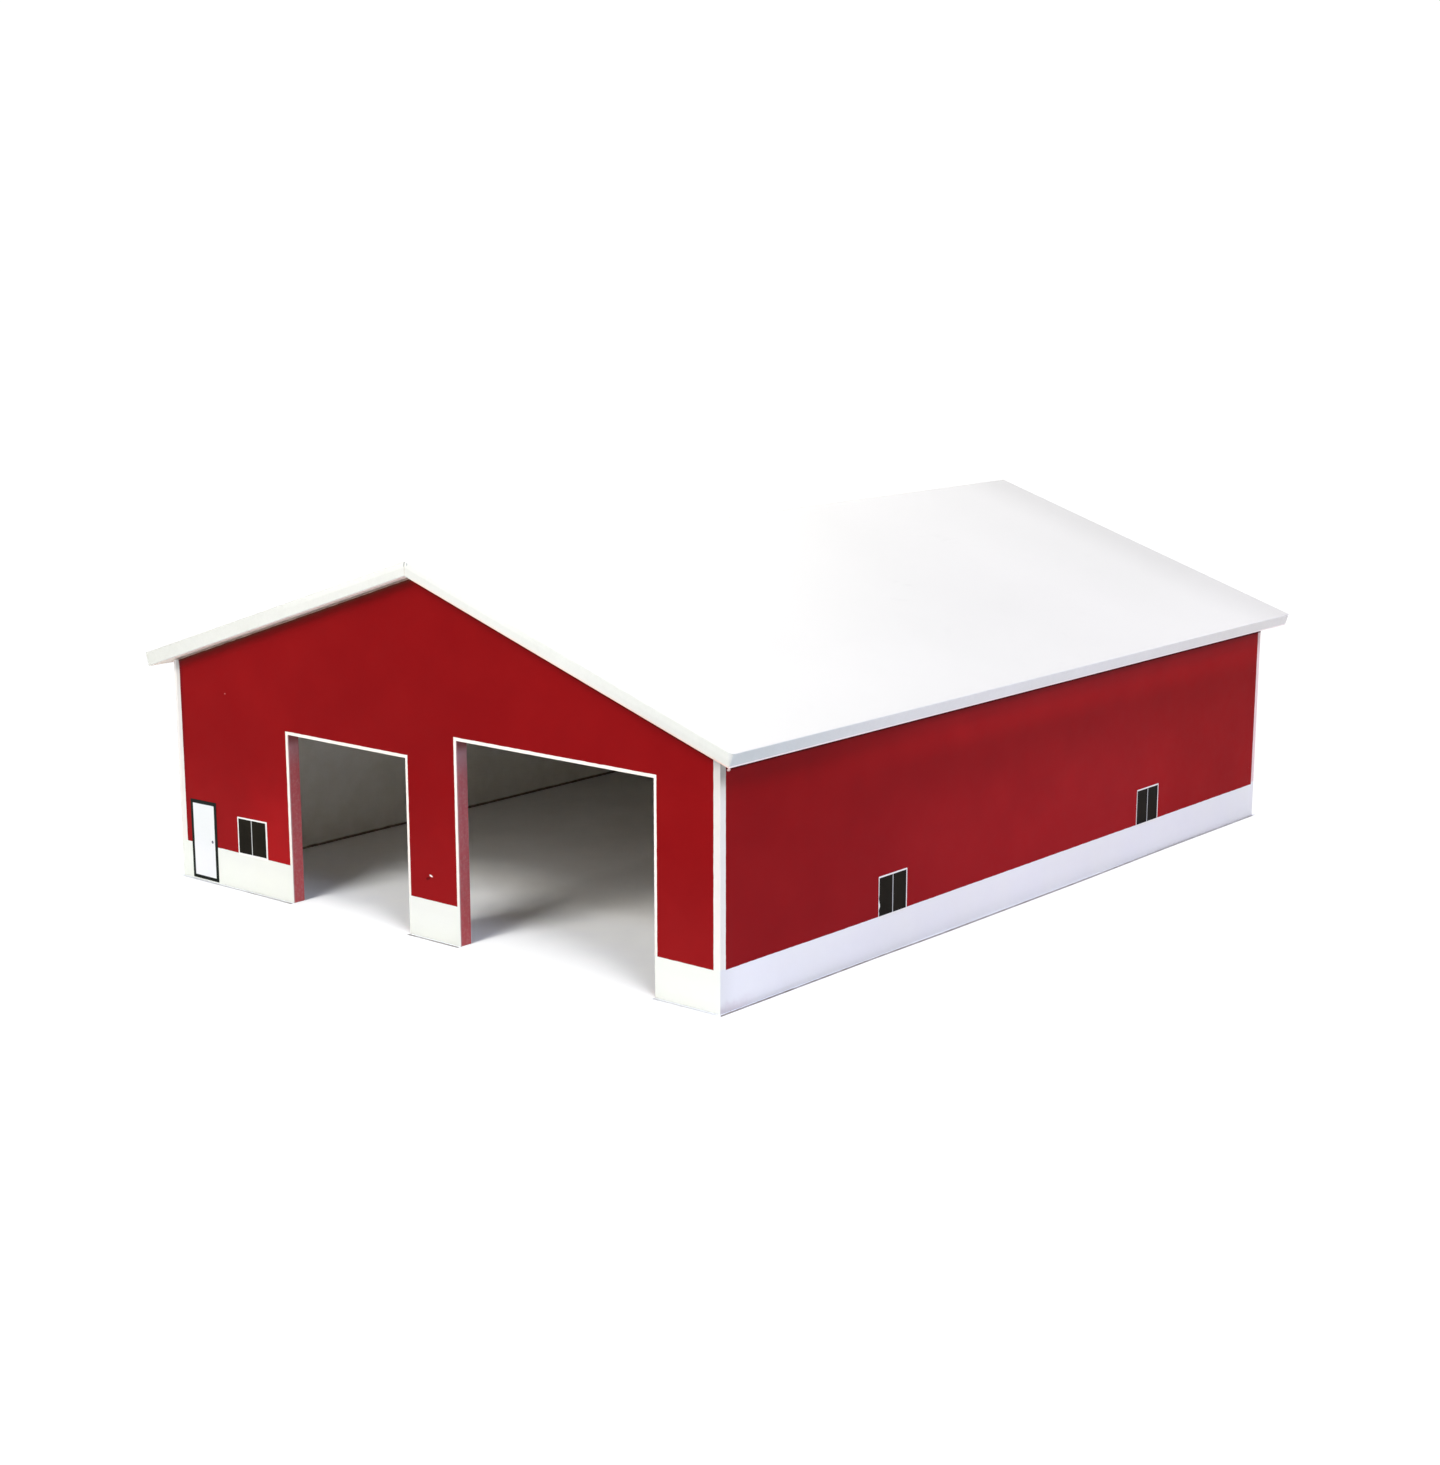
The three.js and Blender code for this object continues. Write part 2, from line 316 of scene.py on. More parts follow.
def gable_white(doors):
    def share(g):
        x, z = wavering(g, g.x), wavering(g, g.z)
        parts = [
            g.fall(z, BAND_TOP, EDGE),
            g.rise(x, HW - CORNER_TRIM[1], EDGE),
            g.fall(x, CORNER_TRIM[0] - HW, EDGE),
        ]
        for left, right, top in doors:
            parts.append(
                g.both(
                    g.rise(x, left - DOOR_TRIM, EDGE),
                    g.fall(x, right + DOOR_TRIM, EDGE),
                    g.fall(z, top + DOOR_TRIM, EDGE),
                )
            )
        return g.either(*parts)

    return share


def front_white_tone(g, cream):
    """The narrow trims are creamier than the band, and the corner ones are painted darker towards the roof, a painted
    shadow of the eave.
    """
    above = g.rise(g.z, BAND_TOP + 0.0005, 0.0006)
    trims = g.tinted(cream, (1.06, 0.975, 0.955))
    corner = g.rise(g.math("ABSOLUTE", g.x), HW - CORNER_TRIM[0] - 0.001, 0.0005)
    # painted shadow of the eave on the corner trims, kept off the outer edge of the left one
    height = g.both(g.scaled(g.z, 0.018, 0.076, 1.0, 0.84), g.scaled(g.z, 0.074, 0.087, 1.0, 0.84, smooth=True))
    height = g.math("MAXIMUM", height, g.fall(g.x, -HW + 0.0017, 0.0004))
    trims = g.mix(corner, trims, g.times(g.tinted(cream, (0.985, 0.925, 0.945)), height))
    right_end = g.scaled(g.x, 0.112, 0.130, 0.0, 1.0, smooth=True)
    cream = g.mix(right_end, cream, g.tinted(cream, (0.978, 0.972, 0.968)))
    cream = g.times(cream, g.scaled(g.z, 0.007, 0.013, 1.0, 0.975, smooth=True))
    return g.mix(above, cream, trims)


def side_white_tone(g, cream):
    """The long band is painted darker towards the rear and lighter through the middle, painted shade and light for how
    the light falls along this side, and is darker at its foot and near the front corner. The front trim is yellower and
    painted darker towards the roof, a painted shadow of the eave; the rear trim is pinkish grey.
    """
    back = g.scaled(g.y, -0.150, 0.165, 0.0, 1.0)
    band = g.times(cream, g.inverse(g.math("MULTIPLY", g.both(back, back), 0.098)))
    band = g.times(band, g.scaled(g.y, -0.105, -0.010, 1.0, 1.095, smooth=True))
    band = g.times(band, g.scaled(g.z, 0.001, 0.006, 0.985, 1.0, smooth=True))
    band = g.times(band, g.scaled(g.y, FRONT + 0.001, FRONT + 0.009, 0.93, 1.0, smooth=True))
    darker_front_foot = g.both(g.fall(g.y, FRONT + 0.015, 0.006), g.scaled(g.math("ADD", g.z, g.scaled(g.noise(300, 3, 0.6), 0.3, 0.7, -0.001, 0.001)), 0.0004, 0.005, 1.0, 0.0, smooth=True))
    band = g.mix(darker_front_foot, band, g.tinted(band, (0.90, 0.85, 0.875)))
    # painted shadow of the eave: the front trim darkens towards the roof
    trim = g.times(g.tinted(cream, (1.005, 0.98, 0.90)), g.both(g.scaled(g.z, 0.018, 0.076, 1.0, 0.93), g.scaled(g.z, 0.0772, 0.0825, 1.0, 0.56, smooth=True)))
    above = g.rise(g.z, BAND_TOP + 0.0005, 0.0006)
    up = g.mix(g.rise(g.y, 0.0, 0.01), trim, (0.80, 0.63, 0.63))
    return g.mix(above, band, up)


def front_glow(g):
    """Brighter red low down beside the small doorway and on the pier: part of it is light and not paint."""
    patch = g.scaled(g.noise(55, 3, 0.55), 0.32, 0.68, -0.006, 0.006)
    z = g.math("ADD", g.z, patch)
    left = g.both(g.scaled(z, 0.014, 0.062, 1.0, 0.0, smooth=True), g.scaled(g.x, -0.118, -0.082, 0.35, 1.0, smooth=True), g.fall(g.x, -0.05, 0.012))
    pier = g.both(g.scaled(z, 0.014, 0.05, 0.38, 0.0, smooth=True), g.rise(g.x, -0.05, 0.012), g.fall(g.x, 0.06, 0.02))
    far = g.both(g.scaled(z, 0.014, 0.05, 0.22, 0.0, smooth=True), g.rise(g.x, 0.06, 0.02))
    # painted shade: the red is also darker high up in the middle, under the roof
    deep = g.both(g.rise(g.z, 0.068, 0.012), g.scaled(g.math("ABSOLUTE", g.math("ADD", g.x, 0.008)), 0.04, 0.085, 0.13, 0.0, smooth=True))
    return g.math("SUBTRACT", g.either(left, pier, far), deep)


def front_painted_sheen(g):
    """A faint painted sheen on the lower front: a pale veil standing in for reflected light."""
    return g.scaled(g.z, 0.018, 0.060, 0.0042, 0.0, smooth=True)


def side_painted_sheen(g):
    """The same painted sheen on the side, and again close under the eave."""
    low = g.scaled(g.z, 0.030, 0.075, 0.0058, 0.0032, smooth=True)
    ends = g.both(g.scaled(g.y, -0.16, -0.06, 0.55, 1.0, smooth=True), g.scaled(g.y, 0.06, 0.13, 1.0, 0.35, smooth=True))
    high = g.both(g.scaled(g.z, 0.074, 0.083, 0.0, 0.0085, smooth=True), g.scaled(g.y, -0.12, 0.0, 0.35, 1.0, smooth=True))
    return g.math("ADD", g.both(low, ends), high)


def side_glow(g):
    """Brighter red low down, towards the rear and under the eave: it evens out the light on this side and isn't a feature of the paint."""
    patch = g.scaled(g.noise(30, 3, 0.55), 0.32, 0.68, -0.012, 0.012)
    z = g.math("ADD", g.z, patch)
    low = g.both(g.scaled(z, 0.022, 0.075, 0.47, 0.0, smooth=True), g.scaled(g.y, -0.16, 0.02, 0.0, 1.0, smooth=True), g.scaled(g.y, 0.09, 0.17, 1.0, 0.4, smooth=True))
    whole = g.both(g.scaled(g.y, -0.13, -0.05, 0.0, 0.17, smooth=True), g.scaled(g.z, 0.048, 0.064, 1.0, 0.0, smooth=True))
    high = g.both(g.scaled(g.z, 0.0665, 0.0800, 0.0, 0.94, smooth=True), g.scaled(g.z, 0.0805, 0.0834, 1.0, 0.10, smooth=True), g.scaled(g.y, -0.156, -0.04, 0.0, 1.0, smooth=True), g.scaled(g.y, 0.10, 0.18, 1.0, 0.8))
    return g.math("ADD", low, g.math("ADD", whole, high))


def spot(g, u, v, u0, v0, wide, high, turn=0.0, ragged=0.25, soft=0.25):
    """A small ragged oval mark: 1 inside it and 0 outside."""
    du, dv = g.math("SUBTRACT", u, u0), g.math("SUBTRACT", v, v0)
    c, s_ = math.cos(turn), math.sin(turn)
    p = g.math("DIVIDE", g.math("ADD", g.math("MULTIPLY", du, c), g.math("MULTIPLY", dv, s_)), wide)
    q = g.math("DIVIDE", g.math("SUBTRACT", g.math("MULTIPLY", dv, c), g.math("MULTIPLY", du, s_)), high)
    r = g.math("SQRT", g.math("ADD", g.math("MULTIPLY", p, p), g.math("MULTIPLY", q, q)))
    r = g.math("ADD", r, g.scaled(g.noise(2600, 2, 0.6), 0.3, 0.7, -ragged, ragged))
    return g.fall(r, 1.0, soft)


def gable_rim(g, colour):
    """Along the left slope the sawn arris is bare, and under it a dark brown rim fades down over about 4 mm, painted
    shade under the overhang; along the right slope the rim is only thin and dark, painted shade under the roof's front
    edge.
    """
    left = g.both(g.fall(g.x, 0.0, 0.0006), g.rise(g.x, -HW + 0.0032, 0.0003))
    right = g.rise(g.x, 0.0, 0.0006)
    taper = g.math("MULTIPLY", g.math("MINIMUM", g.x, 0.0), LEFT_TAPER / (HW + EAVE_OVERHANG["left"]))
    gap = g.scaled(g.x, 0.0, HW, LEFT_GABLE_GAP, GABLE_GAP)
    line = g.math("ADD", g.math("MULTIPLY", g.math("SUBTRACT", HW, g.math("ABSOLUTE", g.x)), SLOPE), EAVE_PLANE)
    top = g.math("SUBTRACT", g.math("ADD", line, taper), gap)
    below = g.math("SUBTRACT", top, wavering(g, g.z, 0.0001, 180))
    colour = g.mix(g.both(left, g.scaled(below, 0.0008, 0.0042, 0.7, 0.0, smooth=True)), colour, (0.165, 0.008, 0.006))
    colour = g.mix(g.both(left, g.scaled(below, 0.0005, 0.0018, 0.95, 0.0, smooth=True)), colour, (0.085, 0.020, 0.011))
    colour = g.mix(g.both(left, g.fall(below, 0.00035, 0.00012)), colour, (0.58, 0.42, 0.36))
    colour = g.mix(g.both(right, g.fall(g.x, HW - 0.003, 0.0003), g.fall(below, 0.0031, 0.0003), 0.72), colour, (0.075, 0.003, 0.003))
    # a darker line beside the left corner trim, stronger towards the top
    beside = g.both(g.rise(g.x, CORNER_TRIM[0] - HW + 0.0001, 0.0001), g.fall(g.x, CORNER_TRIM[0] - HW + 0.0014, 0.0006), g.rise(g.z, BAND_TOP, 0.0002))
    return g.mix(g.both(beside, g.scaled(g.z, 0.03, 0.085, 0.15, 0.42)), colour, (0.06, 0.003, 0.010))


def front_marks_and_shade(g, colour):
    colour = gable_rim(g, colour)
    # a grey line low down where the right pier's inner arris meets the table
    arris = g.both(g.fall(g.math("ABSOLUTE", g.math("SUBTRACT", g.x, LARGE_DOOR[1] + 0.00012)), 0.00022, 0.0001), g.scaled(g.z, 0.004, 0.015, 0.55, 0.0, smooth=True))
    colour = g.mix(arris, colour, (0.40, 0.40, 0.40))
    colour = g.mix(g.math("MULTIPLY", spot(g, g.x, g.z, 0.0020, 0.0232, 0.0011, 0.00050, 0.4), 0.7), colour, (0.07, 0.003, 0.004))
    colour = g.mix(spot(g, g.x, g.z, -0.11143, 0.07894, 0.00030, 0.00024), colour, (0.60, 0.20, 0.21))
    return g.mix(spot(g, g.x, g.z, 0.0036, 0.02448, 0.00090, 0.00032, -0.25), colour, (0.98, 0.86, 0.82))


def side_marks_and_shade(g, colour):
    on_right = g.rise(g.x, 0.0, 0.01)
    # painted shade: a dark band from just under the eave up to the roof line
    line = g.both(g.scaled(wavering(g, g.z, 0.0001, 200), 0.0831, 0.0838, 0.0, 0.82, smooth=True), g.rise(g.y, FRONT + SIDE_TRIM_FRONT + 0.0002, 0.0002))
    colour = g.mix(line, colour, (0.05, 0.0025, 0.0025))
    mark = spot(g, g.y, g.z, FRONT + 0.0044, 0.0836, 0.0009, 0.00048)
    return g.mix(g.both(mark, on_right), colour, (1.0, 0.75, 0.68))


def side_white(g):
    y, z = wavering(g, g.y), wavering(g, g.z)
    drop = g.scaled(g.y, FRONT, FRONT + 0.09, 0.0, SIDE_BAND_DROP, smooth=True)
    return g.either(
        g.fall(g.math("ADD", z, drop), BAND_TOP, EDGE),
        g.fall(y, FRONT + SIDE_TRIM_FRONT, EDGE),
        g.rise(y, REAR - SIDE_TRIM_REAR, EDGE),
    )


def inner_paint(name):
    """Thin off-white coat inside, with the board's fibre showing and a dark painted contact shade along its foot."""
    g = Graph(name)
    tone, normal, mottle = paint_detail(g, 1.3)
    cloud = g.noise(60, 4, 0.6, 0.4)
    colour = g.mix(g.scaled(cloud, 0.3, 0.72, 0.0, 1.0), INNER_WHITE, (INNER_WHITE[0] * 0.90, INNER_WHITE[1] * 0.89, INNER_WHITE[2] * 0.85))
    colour = g.times(colour, tone)
    # painted contact shade along the foot, where the wall stands on the table
    foot = g.fall(g.math("ADD", g.z, g.scaled(g.noise(200, 3, 0.6), 0.3, 0.7, -0.00015, 0.00015)), 0.00110, 0.00045)
    colour = g.mix(g.math("MULTIPLY", foot, 0.92), colour, (0.15, 0.115, 0.08))
    return g.finish(colour, g.scaled(mottle, 0.3, 0.7, 0.52, 0.64), normal, specular=0.2)


def jamb_paint(name):
    """The cut edge of the board in the doorways: red overspray, pinker and brighter low down and greyer above, partly
    painted light and reflection.
    """
    g = Graph(name)
    speckle = g.noise(900, 3, 0.65)
    patch = g.noise(150, 3, 0.6, 0.5)
    streak = g.noise(120, 3, 0.6, vector=g.stretched((1.0, 6.0, 0.5)))
    high = g.scaled(g.math("ADD", g.z, g.scaled(patch, 0.3, 0.7, -0.008, 0.008)), 0.008, 0.074, 0.0, 1.0)
    small = g.fall(g.x, 0.0, 0.001)
    high_colour = g.mix(small, (0.535, 0.172, 0.20), (0.48, 0.108, 0.116))
    colour = g.mix(high, (0.60, 0.112, 0.120), high_colour)
    colour = g.mix(g.scaled(speckle, 0.45, 0.75, 0.0, 0.30), colour, (0.62, 0.40, 0.40))
    colour = g.mix(g.scaled(streak, 0.48, 0.75, 0.0, 0.35), colour, (0.42, 0.07, 0.078))
    # painted shade under the head: greyish, and dark red-brown right in the corner
    head = g.math("ADD", g.math("MULTIPLY", small, SMALL_DOOR[2] - LARGE_DOOR[2]), LARGE_DOOR[2])
    below = g.math("SUBTRACT", head, g.z)
    colour = g.mix(g.both(g.scaled(below, 0.004, 0.016, 0.65, 0.0, smooth=True), g.rise(below, -0.001, 0.0005)), colour, g.mix(small, (0.44, 0.315, 0.355), (0.46, 0.255, 0.275)))
    colour = g.mix(g.both(g.scaled(below, 0.0015, 0.0055, 0.92, 0.0, smooth=True), g.rise(below, -0.001, 0.0005)), colour, (0.25, 0.080, 0.080))
    # the paint wraps round from the face
    colour = g.mix(g.fall(g.y, FRONT + 0.0005, 0.0003), colour, (0.62, 0.42, 0.42))
    height = g.math("ADD", speckle, streak)
    return g.finish(colour, g.scaled(speckle, 0.3, 0.7, 0.55, 0.75), g.bump(height, 0.00006, 0.8), specular=0.2)


def raw_board(name, over_spray=None, spray_colour=(0.80, 0.80, 0.76)):
    """Bare fibreboard: fine pressed fibres, darker shives and a cut edge's fuzz. over_spray(graph) gives where paint dusts it."""
    g = Graph(name)
    fibre = g.noise(520, 4, 0.7, 1.2)
    blot = g.noise(70, 3, 0.6)
    shive = g.scaled(g.cells(900), 0.0, 0.35, 1.0, 0.0)
    grain = g.noise(2200, 2, 0.6)
    colour = g.mix(g.scaled(fibre, 0.3, 0.72, 0.0, 1.0), (RAW[0] * 0.86, RAW[1] * 0.84, RAW[2] * 0.80), (RAW[0] * 1.16, RAW[1] * 1.17, RAW[2] * 1.2))
    colour = g.mix(g.scaled(blot, 0.35, 0.7, 0.0, 0.25), colour, (RAW[0] * 0.8, RAW[1] * 0.76, RAW[2] * 0.7))
    colour = g.mix(g.math("MULTIPLY", shive, 0.30), colour, RAW_DARK)
    colour = g.times(colour, g.scaled(grain, 0.25, 0.75, 0.93, 1.07))
    rough = 0.82
    if over_spray is not None:
        dust = over_spray(g)
        dust = g.math("MULTIPLY", dust, g.scaled(g.noise(420, 3, 0.65), 0.3, 0.7, 0.72, 1.15), clamp=True)
        colour = g.mix(dust, colour, spray_colour)
        rough = g.scaled(dust, 0.0, 1.0, 0.84, 0.6)
    height = g.math("ADD", g.math("MULTIPLY", fibre, 1.0), g.math("MULTIPLY", grain, 0.5))
    return g.finish(colour, rough, g.bump(height, 0.00008, 0.7), specular=0.2)


def roof_paint(name):
    g = Graph(name)
    tone, normal, mottle = paint_detail(g, 0.8)
    soft = g.noise(9, 2, 0.5)
    colour = g.mix(g.scaled(soft, 0.35, 0.68, 0.0, 1.0), ROOF_WHITE, (ROOF_WHITE[0] * 0.985, ROOF_WHITE[1] * 0.988, ROOF_WHITE[2] * 0.985))
    colour = g.times(colour, g.scaled(tone, 0.95, 1.05, 0.98, 1.02))
    # painted light and shade along the roof: a little darker at the front, lighter beyond the middle, and darker near
    # the rear edge
    colour = g.times(colour, g.both(g.scaled(g.y, -0.19, 0.0, 0.925, 0.955), g.scaled(g.y, 0.02, 0.12, 1.0, 1.047, smooth=True), g.scaled(g.y, 0.150, 0.197, 1.0, 0.90, smooth=True)))
    # a few faint handling scuffs
    scuff = g.both(
        g.scaled(g.noise(26, 3, 0.6, 1.5), 0.62, 0.74, 0.0, 1.0, smooth=True),
        g.scaled(g.noise(380, 3, 0.7, vector=g.stretched((1.0, 0.25, 1.0))), 0.45, 0.7, 0.0, 1.0),
    )
    colour = g.mix(g.math("MULTIPLY", scuff, 0.10), colour, (0.55, 0.55, 0.53))
    return g.finish(colour, g.scaled(mottle, 0.3, 0.7, 0.44, 0.54), normal, specular=0.22)


def roof_edge_paint(name, colour=(0.702, 0.710, 0.668), marks=None, tone=None):
    """The roof's cut edges: the same white, soaked into the fibre, so creamier and rougher."""
    g = Graph(name)
    fibre = g.noise(430, 4, 0.7, 0.8)
    run = g.noise(40, 3, 0.6)
    grain = g.noise(1700, 2, 0.6)
    c = g.mix(g.scaled(run, 0.35, 0.7, 0.0, 1.0), colour, (colour[0] * 0.965, colour[1] * 0.968, colour[2] * 0.955))
    c = g.times(c, g.math("ADD", g.scaled(fibre, 0.3, 0.7, 0.975, 1.02), g.scaled(grain, 0.25, 0.75, -0.012, 0.012)))
    if tone is not None:
        c = tone(g, c)
    if marks is not None:
        c = marks(g, c)
    height = g.math("ADD", fibre, g.math("MULTIPLY", grain, 0.4))
    return g.finish(c, g.scaled(fibre, 0.3, 0.7, 0.50, 0.66), g.bump(height, 0.00006, 0.7), specular=0.1)


# ---------------------------------------------------------------- mesh helpers
def prism(outline, low, high, axis):
    """A bmesh of an outline pushed along an axis. axis "Y": outline in (x, z). axis "X": outline in (y, z)."""
    bm = bmesh.new()
    area = sum(a[0] * b[1] - b[0] * a[1] for a, b in zip(outline, outline[1:] + outline[:1]))
    if area < 0:
        outline = outline[::-1]
    if axis == "Y":
        at = lambda p, t: (p[0], t, p[1])
    else:
        at = lambda p, t: (t, p[0], p[1])
    near = [bm.verts.new(at(p, low)) for p in outline]
    far = [bm.verts.new(at(p, high)) for p in outline]
    bm.faces.new(near)
    bm.faces.new(far[::-1])
    n = len(outline)
    for i in range(n):
        j = (i + 1) % n
        bm.faces.new((near[j], near[i], far[i], far[j]))
    bmesh.ops.recalc_face_normals(bm, faces=bm.faces[:])
    return bm


def evaluated(obj):
    depsgraph = bpy.context.evaluated_depsgraph_get()
    mesh = bpy.data.meshes.new_from_object(obj.evaluated_get(depsgraph), preserve_all_data_layers=True, depsgraph=depsgraph)
    old = obj.data
    obj.modifiers.clear()
    obj.data = mesh
    mesh.name = obj.name
    bpy.data.meshes.remove(old)
    return obj


def board(name, bm, ease, widest, segments=3, reshape=None):
    """Makes the object, with each edge eased by ease(middle, direction, edge) metres, and shaded as flat faces with round edges."""
    weight = bm.edges.layers.float.new("bevel_weight_edge")
    for e in bm.edges:
        a, b = e.verts[0].co, e.verts[1].co
        w = ease((a + b) / 2, (b - a).normalized(), e)
        e[weight] = max(0.0, min(1.0, w / widest))
    mesh = bpy.data.meshes.new(name)
    bm.to_mesh(mesh)
    bm.free()
    obj = bpy.data.objects.new(name, mesh)
    bpy.context.scene.collection.objects.link(obj)
    bevel = obj.modifiers.new("ease", "BEVEL")
    bevel.limit_method = "WEIGHT"
    bevel.width = widest
    bevel.segments = segments
    bevel.profile = 0.5
    bevel.use_clamp_overlap = False
    bevel.loop_slide = True
    evaluated(obj)
    if reshape is not None:
        for v in obj.data.vertices:
            v.co = reshape(v.co)
    for p in obj.data.polygons:
        p.use_smooth = True
    obj.data.set_sharp_from_angle(angle=math.radians(38))
    weighted = obj.modifiers.new("shade", "WEIGHTED_NORMAL")
    weighted.mode = "FACE_AREA"
    weighted.weight = 100
    weighted.keep_sharp = True
    evaluated(obj)
    return obj


def dress(obj, materials, choose):
    """Gives each face its material: choose(centre, normal) -> name."""
    obj.data.materials.clear()
    names = list(materials)
    for n in names:
        obj.data.materials.append(materials[n])
    for p in obj.data.polygons:
        p.material_index = names.index(choose(p.center, p.normal))


def near(a, b, tolerance=0.00002):
    return abs(a - b) < tolerance


# ---------------------------------------------------------------- camera and floor
azimuth, pitch, roll = math.radians(39.349), math.radians(12.682), 0.0021317
ahead = Vector((-math.sin(azimuth) * math.cos(pitch), math.cos(azimuth) * math.cos(pitch), -math.sin(pitch)))
level = Vector((math.cos(azimuth), math.sin(azimuth), 0))
upward = level.cross(ahead)
right = level * math.cos(roll) + upward * math.sin(roll)
up = upward * math.cos(roll) - level * math.sin(roll)
camera_data = bpy.data.cameras.new("camera")
camera = bpy.data.objects.new("camera", camera_data)
bpy.context.scene.collection.objects.link(camera)
turned = Matrix((right, up, -ahead)).transposed().to_4x4()
camera.matrix_world = Matrix.Translation((0.643003, -0.785587, 0.256754)) @ turned
camera_data.sensor_fit = "AUTO"
camera_data.sensor_width = 36
camera_data.lens = 36 * 2429.12 / 1465
camera_data.shift_x = -(744.428 - 720) / 1465
camera_data.shift_y = (778.607 - 732.5) / 1465
camera_data.clip_start = 0.01
camera_data.clip_end = 100
bpy.context.scene.camera = camera

scene = bpy.context.scene
scene.view_settings.view_transform = "Standard"
scene.view_settings.look = "None"
scene.view_settings.exposure = 0
scene.view_settings.gamma = 1


